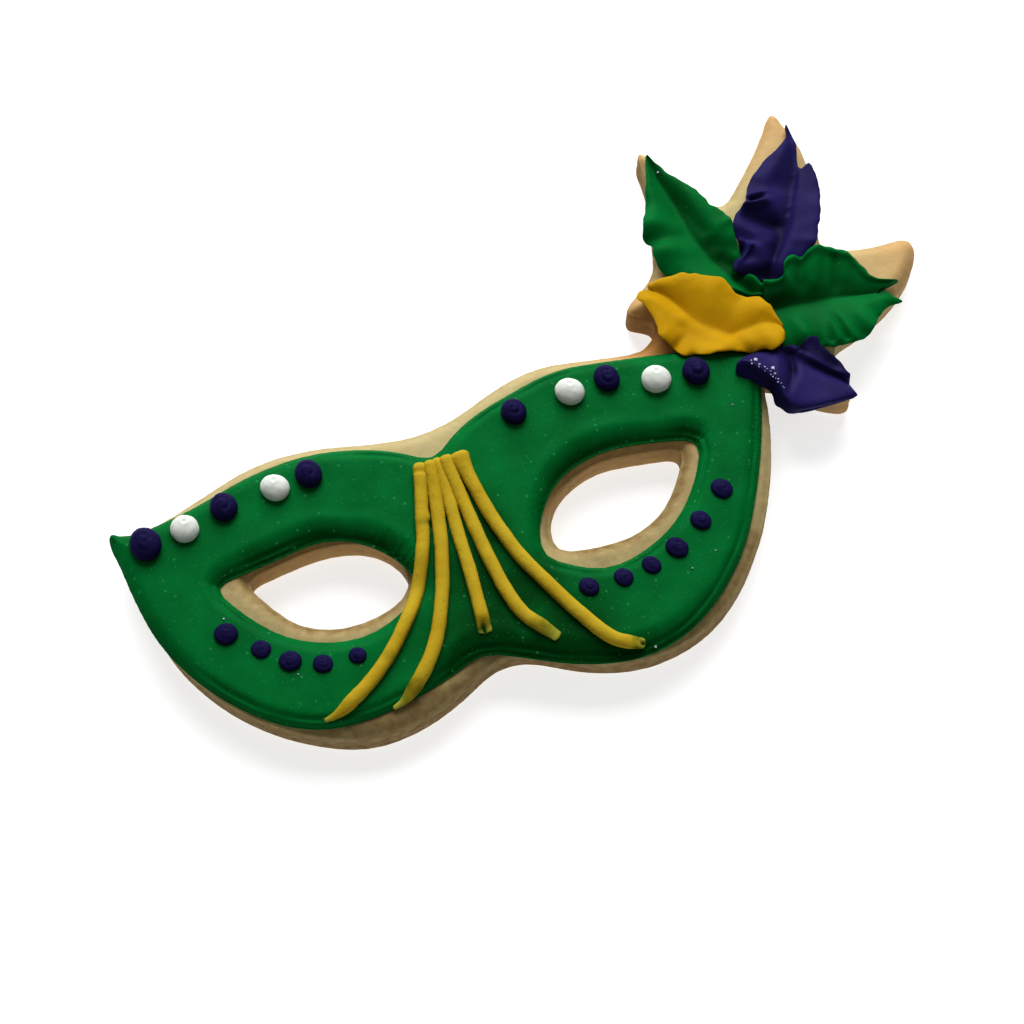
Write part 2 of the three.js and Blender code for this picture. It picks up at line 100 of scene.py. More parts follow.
# The toasted colour shows only in those hollows, where it is partly painted shade.
DOUGH_TOASTED_AND_SHADED = (164, 116, 60)
DOUGH_BROWN_AND_SHADE = (118, 90, 50)  # the walls brown most, and this colour also carries their painted shade


def colour(red, green, blue):
    """A colour as a shader takes it, from its values on a screen."""
    shares = [value / 255 for value in (red, green, blue)]
    linear = [s / 12.92 if s < 0.04045 else ((s + 0.055) / 1.055) ** 2.4 for s in shares]
    return (*linear, 1.0)


def between(value, low, high):
    """0 below low, 1 above high, and a smooth step between them."""
    share = min(1.0, max(0.0, (value - low) / (high - low)))
    return share * share * (3 - 2 * share)


def bump_at(distance, width):
    """A smooth swelling: 1 at no distance, next to nothing past twice the width."""
    return math.exp(-((distance / width) ** 2))


def nearness(flat, places):
    """How near a spot is to the nearest of some places, each given as x, y and reach."""
    return max(bump_at((flat.xy - Vector((x, y))).length, reach) for x, y, reach in places)


def grain(place, size, seed=0.0):
    """Smooth unevenness from -1 to 1, whose swells are about size across."""
    return noise.noise(place / size + Vector((seed, -seed, 0.5 * seed)))


def unevenness(place, swells, seed=0.0):
    """The height of several such swells together, each given as its height, size and seed."""
    return sum(height * grain(place, size, seed + own) for height, size, own in swells)


def in_scene(name, data):
    """A new object in the scene for a mesh, a lamp or a camera."""
    made = bpy.data.objects.new(name, data)
    bpy.context.scene.collection.objects.link(made)
    return made


def smooth(bm, rounds):
    """Draw every point halfway to the middle of its neighbours, as often as said."""
    for _ in range(rounds):
        bmesh.ops.smooth_vert(
            bm, verts=bm.verts, factor=0.5, use_axis_x=True, use_axis_y=True, use_axis_z=True
        )


def fine_skin(name, spacing, rounds, sink=0.0):
    """A CAD node's shape again, on evenly spaced points and with its facets smoothed away. Its
    underside is let down by sink first."""
    bm = bmesh.new()
    bm.from_mesh(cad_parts[name].data)
    bmesh.ops.remove_doubles(bm, verts=bm.verts, dist=0.001 * MM)
    lowest = min(vert.co.z for vert in bm.verts)
    underside = [vert for vert in bm.verts if vert.co.z < lowest + 0.01 * MM]
    bmesh.ops.translate(bm, verts=underside, vec=(0, 0, -sink * MM))
    coarse = bpy.data.meshes.new(name + "_coarse")
    bm.to_mesh(coarse)
    bm.free()
    holder = in_scene("holder", coarse)
    remesh = holder.modifiers.new("skin", "REMESH")
    remesh.mode = "VOXEL"
    remesh.voxel_size = spacing * MM
    skin = bmesh.new()
    skin.from_object(holder, bpy.context.evaluated_depsgraph_get())
    bpy.data.objects.remove(holder)
    bpy.data.meshes.remove(coarse)
    smooth(skin, rounds)
    bmesh.ops.recalc_face_normals(skin, faces=skin.faces)
    skin.normal_update()
    return skin


def piece_of(bm, name, finish):
    """The finished piece, smooth-shaded, from its bmesh."""
    mesh = bpy.data.meshes.new(name)
    bm.to_mesh(mesh)
    bm.free()
    mesh.shade_smooth()
    mesh.materials.append(finish)
    return in_scene(name, mesh)


def new_finish(name):
    """A material with its surface shader, as (material, node tree, shader)."""
    material = bpy.data.materials.new(name)
    material.use_nodes = True
    tree = material.node_tree
    return material, tree, tree.nodes["Principled BSDF"]


def node(tree, kind, settings=None, **inputs):
    """A shader node with its settings, and its inputs set to a value or joined to a socket. An
    input goes by its name, with _ for a space, or by i and its number."""
    made = tree.nodes.new("ShaderNode" + kind)
    for key, value in (settings or {}).items():
        setattr(made, key, value)
    for key, value in inputs.items():
        socket = made.inputs[int(key[1:]) if key[1:].isdigit() else key.replace("_", " ")]
        if isinstance(value, bpy.types.NodeSocket):
            tree.links.new(value, socket)
        else:
            socket.default_value = value
    return made


def noise_in(tree, place, size, detail=3.0):
    """The value of a noise whose swells are about size millimetres across."""
    return node(tree, "TexNoise", Vector=place, Scale=1 / (size * MM), Detail=detail).outputs["Fac"]


def ramp(tree, value, low, high):
    """The value stretched so that low becomes 0 and high becomes 1."""
    made = node(tree, "MapRange", {"clamp": True}, Value=value, i1=low, i2=high)
    return made.outputs["Result"]


def mixed(tree, share, first, second):
    """One colour turning into the other as the share goes from 0 to 1."""
    made = node(tree, "Mix", {"data_type": "RGBA"}, i0=share, i6=first, i7=second)
    return made.outputs[2]


def product(tree, first, second):
    """Two values multiplied."""
    return node(tree, "Math", {"operation": "MULTIPLY"}, i0=first, i1=second).outputs[0]


def added(tree, first, second):
    """Two values added, up to 1 at most."""
    settings = {"operation": "ADD", "use_clamp": True}
    return node(tree, "Math", settings, i0=first, i1=second).outputs[0]


def attribute(tree, name):
    """The share that each point of the piece holds under a name."""
    return node(tree, "Attribute", {"attribute_name": name}).outputs["Fac"]


def specks(tree, place, spacing, radius, kept):
    """Small round spots: 1 inside one and 0 outside. kept is the share of them that shows."""
    cells = node(tree, "TexVoronoi", Vector=place, Scale=1 / (spacing * MM))
    inside = ramp(tree, cells.outputs["Distance"], radius / spacing, 0.6 * radius / spacing)
    chance = node(tree, "SeparateColor", Color=cells.outputs["Color"]).outputs["Red"]
    return product(tree, inside, ramp(tree, chance, 1 - kept, 1 - 0.6 * kept))


def dough_finish():
    """Baked butter dough: matt and crumbly, pale with golden patches. It turns golden and then
    toasted by the piece's toast attribute, which also holds painted light on the far rims of the
    eye holes and partly painted shade in the hollows by the short point. It turns brown by its wall
    attribute, which holds baked browning together with painted shade."""
    material, tree, surface = new_finish("baked_dough")
    place = node(tree, "TexCoord").outputs["Object"]
    patches = product(tree, ramp(tree, noise_in(tree, place, 7.0), 0.35, 0.7), 0.15)
    shade = added(tree, patches, attribute(tree, "toast"))
    base = mixed(tree, shade, colour(*DOUGH_PALE), colour(*DOUGH_GOLDEN))
    toasted = ramp(tree, attribute(tree, "toast"), 1.0, 2.0)
    base = mixed(tree, toasted, base, colour(*DOUGH_TOASTED_AND_SHADED))
    mottled = ramp(tree, noise_in(tree, place, 1.4, 5.0), 0.3, 0.75)
    # The wall attribute holds baked browning together with painted shade.
    wall = product(tree, attribute(tree, "wall"), ramp(tree, mottled, -1.6, 1.0))
    base = mixed(tree, wall, base, colour(*DOUGH_BROWN_AND_SHADE))
    base = mixed(tree, product(tree, mottled, 0.12), base, colour(*DOUGH_BROWN_AND_SHADE))
    tree.links.new(base, surface.inputs["Base Color"])
    surface.inputs["Roughness"].default_value = 0.82
    surface.inputs["Specular IOR Level"].default_value = 0.2
    crumb = noise_in(tree, place, 0.7, 6.0)
    bump = node(tree, "Bump", Height=crumb, Strength=0.5, Distance=0.12 * MM)
    tree.links.new(bump.outputs["Normal"], surface.inputs["Normal"])
    return material


def edge_of(bm):
    """Where the walls of a piece stand, to find how far in from its edge a spot on top is."""
    walls = [vert.co / MM for vert in bm.verts if abs(vert.normal.z) < 0.4]
    found = KDTree(len(walls))
    for index, wall in enumerate(walls):
        found.insert((wall.x, wall.y, 0), index)
    found.balance()
    return found


bm = fine_skin("dough", DOUGH_SPACING, DOUGH_SMOOTHING)
toast_and_painted_light_layer = bm.verts.layers.float.new("toast")
brown_and_shade_layer = bm.verts.layers.float.new("wall")
dough_edge = edge_of(bm)
for vert in bm.verts:
    place = vert.co / MM
    flat = Vector((place.x, place.y, 0))
    upright = 1 - abs(vert.normal.z)
    on_top = between(place.z, *TOP_BEGINS)

    # The dough is a little uneven, with a crease in the walls that comes and goes.
    line = place.z - CREASE_HEIGHT - CREASE_WANDER * grain(place, 9.0, 3.0)
    shows = between(grain(place, 8.0, 5.0), -0.2, 0.4)
    swell = unevenness(place, DOUGH_SWELLS)
    swell -= CREASE_DEPTH * upright * bump_at(line, CREASE_WIDTH) * shows
    vert.co += vert.normal * swell * between(place.z, FLAT_BELOW, UNEVEN_ABOVE) * MM

    # The sharpest points of the plume are drawn out.
    for x, y, drawn in POINTS:
        outward = (Vector((x, y, 0)) - Vector(PLUME_FOOT)).normalized()
        at_point = bump_at((place.xy - Vector((x, y))).length, POINT_REACH)
        vert.co += outward * drawn * at_point * MM

    # The points toast most, and so does the foot of the walls. The hollows beside the short point
    #     are toasted darker still, partly as painted shade from the feathers over them.
    in_hollow = nearness(place, TOASTED_AND_SHADED_HOLLOWS)
    foot = FOOT_TOAST * bump_at(place.z - 1.0, 1.2) * upright
    vert[toast_and_painted_light_layer] = min(1.0, nearness(place, TOASTED_POINTS) + foot)
    vert[toast_and_painted_light_layer] += HOLLOW_TOAST_AND_SHADE * in_hollow

    # The walls darken towards their foot, partly baked browning and partly painted shade. The worn
    #     edges brown. The ledges round the eye holes and the near side of the top get painted
    #     shade.
    browned_and_shaded = between(upright, *WALL_BEGINS)
    browned_and_shaded *= WALL_BROWN_AND_SHADE - WALL_TOP_PALER * between(place.z, *WALL_PALES)
    browned_and_shaded *= 1 - 0.5 * in_hollow
    browned_and_shaded *= 1 - PLUME_PALER * between(place.x, *PLUME_BEGINS)
    if on_top > 0:
        # Round the eye holes the top darkens, most at the cut edge: partly baked browning, partly
        # painted shade.
        at_eye = min(1.0, 2.2 * nearness(flat, EYES))
        worn = on_top * (1 - between(dough_edge.find(flat)[2], 0.0, EDGE_WIDTH))
        browned_and_shaded = max(browned_and_shaded, at_eye * (0.5 + 0.5 * worn), EDGE_BROWNED * worn)
        # Painted shade along the near side of the top.
        browned_and_shaded = max(browned_and_shaded, NEAR_PAINTED_SHADE * between(-place.y, *NEAR_BEGINS) * on_top)
        vert.co.z -= (EDGE_ROUNDED + (HOLLOWED - EDGE_ROUNDED) * at_eye) * worn**2 * MM

    # Painted light: the far sides of the eye holes, which lie in the icing's shadow, are made
    # golden and less brown.
    painted_light = min(1.0, 1.5 * nearness(flat, PAINTED_LIGHT_RIMS))
    vert[toast_and_painted_light_layer] += (RIM_PAINTED_LIGHT - vert[toast_and_painted_light_layer]) * painted_light
    vert[brown_and_shade_layer] = browned_and_shaded * (1 - 0.7 * painted_light)
cookie = piece_of(bm, "butter_cookie", dough_finish())
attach(cookie, "root")
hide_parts("dough")

# ---------------------------------------------------------------- green flood icing
# Royal icing: an outline piped round the mask and its eye holes, then filled with thinner icing
# that flows up to it. It sets domed and sags towards the near side, and the outline shows as a
# thin bead where the filling stopped short of it.
ICING_SPACING = 0.26
ICING_SMOOTHING = 6
ICING_TOP = 7.5
ICING_LOWEST = 6.6  # its top nowhere goes down into the dough
ICING_SINK = 0.5  # how far its underside reaches into the dough
ICING_SWELLS = [(0.09, 9.0, 0.0), (0.03, 2.6, 2.0)]
CROWN_RISE = 0.35
EDGE_SLOPE = 2.2  # how far in from its edge the icing is still rising
EDGE_DROP = 0.75
SAG_SLOPE = 3.5  # the same two where it sagged
SAG_DROP = 1.3
NEAR_FACING = (0.1, 0.8)  # how squarely the edge faces the near side where it can sag
EDGE_BEND = 1.6  # over 1 the edge turns down more and more steeply
CREST_HEIGHT = 0.08  # the sagging slope starts from a low crest
SAGS = [  # x, y and reach of the places where it sagged
    (-24.0, 9.0, 12.0), (-10.0, 6.0, 8.0), (22.0, 8.0, 11.0), (38.0, 6.0, 8.0), (14.0, -19.0, 14.0),
    (-3.0, -14.0, 8.0),
]
BEAD_AT = 0.5  # how far in from the edge the piped outline stands
BEAD_WANDER = 0.08
BEAD_WIDTH = 0.34
BEAD_HEIGHT = 0.16
SEAM_AT = 1.1  # where the filling meets the outline
SEAM_WIDTH = 0.26
SEAM_DEPTH = 0.3
BEADS = [  # x, y and reach of the stretches where the outline shows
    (-35.0, 1.5, 4.0), (-26.0, 7.0, 5.0), (13.0, -8.0, 5.0), (24.0, -7.0, 6.0), (34.0, 0.0, 6.0),
    (40.0, 7.0, 6.0), (46.0, -3.0, 7.0), (47.0, 8.0, 6.0), (38.0, -15.0, 8.0), (28.0, -20.0, 6.0),
    (16.0, -22.0, 7.0), (5.0, -17.5, 6.0), (-3.0, -17.0, 5.0), (-12.0, -21.0, 7.0),
    (-26.0, -20.0, 8.0), (-38.0, -12.0, 6.0), (19.0, 20.0, 6.0), (10.0, 19.0, 4.0),
    (-7.0, 18.0, 5.0),
]
PAINTED_SHADE_SPOTS = [  # x, y and reach of painted shade on the bridge, where the strings' shadows fall
    (5.5, -8.0, 6.0), (10.0, -17.0, 7.0), (0.0, -4.0, 6.0), (-1.5, -13.0, 6.0), (4.0, 2.0, 3.5),
]
PAINTED_SHADE_SHARE = 0.95
HORN = (-47.5, 18.3)  # the tip at the left, pulled up as the bag came away
HORN_RISE = 0.8
RAN_UP = 0.75  # how far it ran up past its outline below the plume
RAN_BEGINS_X = (12, 24)  # where that begins, as the low and the high end of a smooth step
RAN_BEGINS_Y = (12, 18)
CORNER = (48.0, 14.0)
CORNER_REACH = 5.5
CORNER_RAN = Vector((1.2, 1.9, 0))  # and further out at the corner under the lowest feather
GREEN = (1, 110, 52)
GREEN_DEEP = (2, 66, 22)
GREEN_SPECK = (70, 158, 98)
CLEAR_ABOVE = 20  # a height above everything on the cookie


def icing_finish(name, tint, deep, speck, share, radius=0.16, spacing=1.3, gloss=0.025):
    """Dried royal icing: a fine-grained low sheen, slightly clouded, with small spots in it, of
    which a share shows. It is painted deeper where the piece's own attribute holds painted shade.
    Gives the material, and its node tree, shader and colour for further nodes."""
    material, tree, surface = new_finish(name)
    place = node(tree, "TexCoord").outputs["Object"]
    clouds = product(tree, ramp(tree, noise_in(tree, place, 6.0, 4.0), 0.3, 0.7), 0.42)
    base = mixed(tree, added(tree, clouds, attribute(tree, "pooled")), colour(*tint), colour(*deep))
    spots = specks(tree, place, spacing, radius, share)
    fine = specks(tree, place, 0.45 * spacing, 0.5 * radius, share)
    base = mixed(tree, product(tree, spots, 0.38), base, colour(*speck))
    base = mixed(tree, product(tree, fine, 0.28), base, colour(*speck))
    tree.links.new(base, surface.inputs["Base Color"])
    dull = ramp(tree, noise_in(tree, place, 1.6, 5.0), 0.0, 1.0)
    rough = node(tree, "MapRange", Value=dull, i3=0.4, i4=0.55).outputs["Result"]
    tree.links.new(rough, surface.inputs["Roughness"])
    surface.inputs["Specular IOR Level"].default_value = gloss
    skin = noise_in(tree, place, 0.35, 4.0)
    bump = node(tree, "Bump", Height=skin, Strength=0.45, Distance=0.05 * MM)
    tree.links.new(bump.outputs["Normal"], surface.inputs["Normal"])
    return material, tree, surface, base


green_icing = icing_finish(
    "green_icing", GREEN, GREEN_DEEP, GREEN_SPECK, share=0.4, radius=0.24, spacing=1.2
)[0]
bm = fine_skin("flood_icing", ICING_SPACING, ICING_SMOOTHING, ICING_SINK)
painted_shade_layer = bm.verts.layers.float.new("pooled")

# Towards the plume it ran out past its outline while it was wet.
for vert in bm.verts:
    ran = between(vert.co.x / MM, *RAN_BEGINS_X) * between(vert.co.y / MM, *RAN_BEGINS_Y)
    corner = bump_at((vert.co.xy / MM - Vector(CORNER)).length, CORNER_REACH)
    vert.co += (Vector((0, RAN_UP * ran, 0)) + CORNER_RAN * corner) * MM
bm.normal_update()
icing_edge = edge_of(bm)
for vert in bm.verts:
    facing_up = between(vert.normal.z, 0.1, 0.6)
    if facing_up == 0:
        continue
    flat = Vector((vert.co.x, vert.co.y, 0)) / MM

    # The top is domed. It drops towards its edge, and further where it sagged on the near side.
    wall, _, inward = icing_edge.find(flat)
    near_side = between((flat.y - wall.y) / max(inward, 0.1), *NEAR_FACING)
    sag = min(1.0, 1.2 * nearness(flat, SAGS)) * near_side
    slope = EDGE_SLOPE + (SAG_SLOPE - EDGE_SLOPE) * sag
    down = 1 - min(1.0, inward / slope)
    lift = CROWN_RISE - (EDGE_DROP + (SAG_DROP - EDGE_DROP) * sag) * down**EDGE_BEND
    lift += CREST_HEIGHT * bump_at(inward / slope - 1.1, 0.3) * sag

    # The bead of the outline, with the seam beside it, shows along some stretches.
    shows = min(1.0, max(0.0, 1.2 * nearness(flat, BEADS) + 0.2 * grain(flat, 4.0)))
    at_bead = inward - BEAD_AT - BEAD_WANDER * grain(flat, 3.0, 6.0)
    lift += BEAD_HEIGHT * shows * bump_at(at_bead, BEAD_WIDTH)
    lift -= SEAM_DEPTH * shows * bump_at(at_bead + BEAD_AT - SEAM_AT, SEAM_WIDTH)

    lift += unevenness(flat, ICING_SWELLS)
    lift += HORN_RISE * bump_at((flat.xy - Vector(HORN)).length, 1.0)
    # Painted shade between the strings on the bridge, and on the slopes that sag towards the near
    # side.
    pooled = PAINTED_SHADE_SHARE * nearness(flat, PAINTED_SHADE_SPOTS) + PAINTED_SHADE_SHARE * sag * down
    vert[painted_shade_layer] = min(1.0, pooled)
    height = vert.co.z / MM
    vert.co.z = max(height + lift * facing_up, min(height, ICING_LOWEST)) * MM
bmesh.ops.recalc_face_normals(bm, faces=bm.faces)
icing_surface = BVHTree.FromBMesh(bm)


def height_on(surface, x, y, bare):
    """The height of a surface there in millimetres, or the bare height where there is none."""
    hit = surface.ray_cast(Vector((x, y, CLEAR_ABOVE)) * MM, Vector((0, 0, -1)))[0]
    return hit.z / MM if hit else bare


icing = piece_of(bm, "flood_icing_set", green_icing)
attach(icing, "root")
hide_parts("flood_icing")

# ---------------------------------------------------------------- yellow lines
# Five strings of stiff yellow icing, laid from the top of the bridge with a small round tip. They
# crowd together where they start with blunt ends, and trail off flat where the bag was pulled
# away, smeared with the green below.
STRING_ROUND = 32  # points round a string's section
STRING_STEP = 0.25
STRING_SINK = 0.12
STRING_SKIN = [(0.03, 0.7, 0.0), (0.02, 0.35, 0.0)]
STRING_WANDER = 0.05
ROUTE_POINTS = 400
CURVE_STEPS = 24  # between two given points of a curve
GROUND_SPAN = 14  # a string bridges ups and downs of the icing over this many points each way
SAGGED_EDGE = 0.6  # the icing's edge counts as no lower than this under its top
START_REACH = 2.6  # how far along a string it has the width of its start
RAISED_REACH = 4.0  # and how far along it stands higher
START_ROUND = 1.1  # the radius of its rounded start
TAIL_ROUND = 0.5
BLUNT = 2.2  # over 2 the two ends are blunter than a circle
FLATTENED = 0.75  # below 1 the top of a string is flatter than a circle
TAIL_HEIGHT = 0.28  # the end's height as a share of the string's
NICK_DEPTH = 0.25
NICK_SWELL = 0.35  # the string swells before the nick
CREASE_CUT = 0.18
EDGE_SMEAR = 0.12  # along the sides of a string its colour mixes with the green
YELLOW = (184, 160, 47)
YELLOW_DEEP = (168, 131, 22)
YELLOW_SPECK = (122, 96, 20)
SMEAR = (50, 82, 18)
PALE_TIP = (156, 162, 70)
# A string has its width, which is another at its start and its tail, how long its end tapers, how
# high it stands and how much higher at its start. A smear or a pale stretch is how far it lies from
# the string's end, its reach and its share. A nick and a crease are how far along they lie, and a
# fork is how far its end is split.
strings = [
    {
        "name": "line_1",
        "route": [
            (-2.3, 14.7), (-2.9, 12.4), (-3.5, 10.2), (-4.7, 6.0), (-5.8, 2.2), (-8.7, -4.1),
            (-12.8, -9.6), (-17.5, -14.0), (-22.3, -17.0), (-24.7, -17.9), (-26.6, -18.1),
        ],
        "width": 2.0, "start": 2.1, "tail": 0.7, "taper": 4.5, "height": 1.55, "raise": 0.25,
        "smears": [(0.0, 3.0, 0.25), (12.9, 0.6, 0.2)], "pales": [(0.0, 0.9, 0.9)], "nick": 9.6,
        "crease": 1.75,
    },
    {
        "name": "line_2",
        "route": [
            (-1.0, 14.6), (-1.4, 11.0), (-1.9, 8.0), (-3.1, 2.2), (-4.2, -1.8), (-5.3, -5.3),
            (-7.8, -11.0), (-10.8, -15.3), (-14.4, -18.3), (-17.0, -19.3),
        ],
        "width": 2.05, "start": 1.9, "tail": 0.7, "taper": 4.5, "height": 1.55, "raise": 0.3,
        "smears": [(3.9, 1.3, 0.5), (2.0, 1.2, 0.25)], "pales": [(0.6, 1.6, 0.8)],
    },
    {
        "name": "line_3",
        "route": [
            (0.1, 14.8), (0.15, 11.4), (0.05, 9.0), (-0.25, 5.0), (-0.5, 0.8), (-0.75, -5.0),
            (-1.4, -13.2),
        ],
        "width": 1.95, "start": 1.5, "tail": 2.1, "taper": 2.0, "height": 1.4, "raise": 0.1,
        "smears": [(1.3, 0.8, 0.45)], "pales": [(0.3, 0.9, 0.8)], "fork": 1.9,
    },
    {
        "name": "line_4",
        "route": [
            (1.45, 14.6), (1.5, 11.6), (1.65, 8.6), (1.95, 4.4), (2.3, -0.3), (2.7, -4.0),
            (3.3, -8.1), (4.6, -12.3), (8.2, -17.0),
        ],
        "width": 2.0, "start": 2.3, "tail": 1.6, "taper": 3.0, "height": 1.55, "raise": 0.4,
        "smears": [(3.2, 1.3, 0.35), (1.2, 1.5, 0.2)], "pales": [(0.8, 1.5, 0.75)],
    },
    {
        "name": "line_5",
        "route": [
            (3.3, 14.5), (3.6, 11.6), (4.1, 7.9), (5.0, 2.9), (6.7, -3.2), (9.3, -9.1),
            (12.2, -14.9), (15.3, -19.6), (19.4, -21.5),
        ],
        "width": 2.05, "start": 3.2, "tail": 1.6, "taper": 2.5, "height": 1.6, "raise": 0.4,
        "smears": [(1.3, 0.8, 0.5)], "pales": [(0.2, 0.8, 0.8)], "fork": 1.0,
    },
]


def path_through(points, count):
    """Evenly spaced points along a smooth curve through the given ones, and its length."""
    given = [Vector(p) for p in points]
    given = [2 * given[0] - given[1], *given, 2 * given[-1] - given[-2]]
    fine = []
    for a, b, c, d in zip(given, given[1:], given[2:], given[3:]):
        for step in range(CURVE_STEPS):
            t = step / CURVE_STEPS
            bend = (2 * a - 5 * b + 4 * c - d) * t**2 + (3 * b - a - 3 * c + d) * t**3
            fine.append(0.5 * (2 * b + (c - a) * t + bend))
    fine.append(given[-2])
    reach = [0.0]
    for a, b in zip(fine, fine[1:]):
        reach.append(reach[-1] + (b - a).length)
    spaced = []
    k = 0
    for step in range(count):
        target = reach[-1] * step / (count - 1)
        while k < len(reach) - 2 and reach[k + 1] < target:
            k += 1
        span = max(reach[k + 1] - reach[k], 1e-9)
        spaced.append(fine[k].lerp(fine[k + 1], (target - reach[k]) / span))
    return spaced, reach[-1]


def rings_of(ball):
    """Each point of a ball that is to be drawn out, with its ring, from 0 at one pole to 1 at the
    other, and its angle round the section. The poles become the two ends of the piece."""
    for vert in ball.verts:
        ring = math.acos(max(-1.0, min(1.0, -vert.co.z))) / math.pi
        yield vert, ring, math.atan2(vert.co.y, vert.co.x)


def round_end(distance, radius):
    """How full a string is at a distance from its rounded end."""
    return math.sqrt(max(0.0, 1 - max(0.0, 1 - distance / radius) ** BLUNT))


def share_at(distance, stretches):
    """How much of some smears or pale stretches there is at a distance from the string's end."""
    return sum(share * bump_at(distance - back, reach) for back, reach, share in stretches)


def string_of_icing(string, seed):
    """A string drawn out along its route, which lies on the green icing."""
    spots, length = path_through([(x, y, 0) for x, y in string["route"]], ROUTE_POINTS)
    last = ROUTE_POINTS - 1
    lowest = ICING_TOP - SAGGED_EDGE
    ground = [max(height_on(icing_surface, spot.x, spot.y, 0), lowest) for spot in spots]
    bm = bmesh.new()
    rings = round(length / STRING_STEP)
    bmesh.ops.create_uvsphere(bm, u_segments=STRING_ROUND, v_segments=rings, radius=1)
    smear_layer = bm.verts.layers.float.new("smear")
    pale_layer = bm.verts.layers.float.new("pale")
    for vert, ring, angle in rings_of(bm):
        k = ring * last
        i = min(int(k), last - 1)
        middle = spots[i].lerp(spots[i + 1], k - i)
        heading = (spots[min(i + 2, last)] - spots[max(i - 2, 0)]).normalized()
        side = Vector((heading.y, -heading.x, 0))
        on_upper_half = angle > 0
        run = ring * length
        left = length - run
        along = Vector((run, seed, 0))

        # Its width and height waver, and both shrink towards the tail.
        width = string["width"] * (1 + 0.05 * grain(along, 2.6) + 0.025 * grain(along, 0.9))
        width += (string["start"] - string["width"]) * bump_at(run, START_REACH)
        width += (string["tail"] - width) * (1 - between(left, 0.0, string["taper"]))
        if "nick" in string:
            past = run - string["nick"]
            swollen = NICK_SWELL * bump_at(past + 0.9, 0.8) - NICK_DEPTH * bump_at(past, 0.4)
            width += swollen * (math.cos(angle) < 0)
        height = string["height"] * (1 + 0.07 * grain(along, 2.5, 9))
        height *= TAIL_HEIGHT + (1 - TAIL_HEIGHT) * between(left, 0.2, string["taper"] + 1)

        # Its section is flat-topped, and full between the two rounded ends.
        full = round_end(run, START_ROUND) * round_end(left, TAIL_ROUND)
        across = 0.5 * width * math.cos(angle) * full + STRING_WANDER * grain(along, 4.0, 40)
        round_up = 0.6 * math.sin(angle) ** FLATTENED if on_upper_half else 0.5 * math.sin(angle)
        up = height * (0.4 + round_up * full)
        if "crease" in string:
            up -= CREASE_CUT * bump_at(run - string["crease"], 0.35) * on_upper_half

        # The green mixes in along its sides, at its smears, at the nick and in the fork.
        smear = share_at(left, string["smears"])
        smear += EDGE_SMEAR * between(abs(math.cos(angle)), 0.7, 1.0)
        if "fork" in string:
            end = 1 - between(left, 0.4 * string["fork"], string["fork"])
            cut = bump_at(across - 0.1, 0.3) * end
            up -= 1.1 * height * cut * on_upper_half
            smear += 0.8 * cut + 0.35 * end * between(across, 0.1, 0.5)
        if "nick" in string:
            smear += 0.35 * bump_at(run - string["nick"], 0.5)

        # It lies on the icing, and higher at its start, where the strings crowd.
        near = ground[max(0, i - GROUND_SPAN):i + GROUND_SPAN + 1]
        raised = string["raise"] * bump_at(run, RAISED_REACH)
        spot = middle + side * across
        spot.z = sum(near) / len(near) + up - STRING_SINK + raised
        pale = share_at(left, string["pales"])
        vert[smear_layer] = min(1.0, smear * (1 + 0.7 * grain(spot, 0.9, 8)))
        vert[pale_layer] = min(1.0, pale * (1 + 0.4 * grain(spot, 0.9, 5)))
        skin = unevenness(spot, STRING_SKIN, seed)
        vert.co = (spot + Vector((side.x, side.y, 1)) * skin) * MM
    bmesh.ops.recalc_face_normals(bm, faces=bm.faces)
    return bm


yellow_icing, tree, surface, base = icing_finish(
    "yellow_line_icing", YELLOW, YELLOW_DEEP, YELLOW_SPECK, share=0.6, radius=0.18, spacing=0.9
)
base = mixed(tree, attribute(tree, "pale"), base, colour(*PALE_TIP))
base = mixed(tree, attribute(tree, "smear"), base, colour(*SMEAR))
tree.links.new(base, surface.inputs["Base Color"])
for number, string in enumerate(strings):
    bm = string_of_icing(string, 7.0 * number)
    piped = piece_of(bm, "string_" + string["name"], yellow_icing)
    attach(piped, "root")
    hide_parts(string["name"])

# ---------------------------------------------------------------- dots
# Drops of stiff icing pressed out with a round tip. The purple ones keep the curl of the tip's
# last turn, and the white ones a small dimple where the tip lifted off.
DOT_STEPS = 48  # points round a drop
DOT_PROFILE_STEPS = 20  # and from its foot to its top
DOT_SINK = 0.25
LOWEST_LEAN = 0.17  # how far a drop tucks under itself at its foot, as a share of a half turn
WIDEST_AT = 0.35  # where a drop is widest, as a share of its height
TUCK = 0.56  # how far down the tucked foot reaches, as a share of the height
DROP_SWELLS = [(0.05, 0.9, 0.0), (0.07, 2.2, 0.0)]
# The curl is a groove that winds outwards with a ridge inside it. The dimple is a pit in a ring.
# These are shares of the drop's radius.
CURL_INNER = 0.30
CURL_WINDS_OUT = 0.34
CURL_WIDTH = 0.1
CURL_RIDGE_IN = 0.22
CURL_RIDGE_WIDTH = 0.16
PIT_WIDTH = 0.13
PIT_RING = 0.26
PIT_RING_WIDTH = 0.12
DIMPLE_TOWARDS = Vector((0.1, 0.33))
PURPLE = (34, 29, 74)
PURPLE_DEEP = (22, 20, 52)
PURPLE_SPECK = (58, 50, 104)
WHITE = (216, 220, 213)
WHITE_DEEP = (204, 209, 201)
WHITE_SPECK = (226, 229, 224)
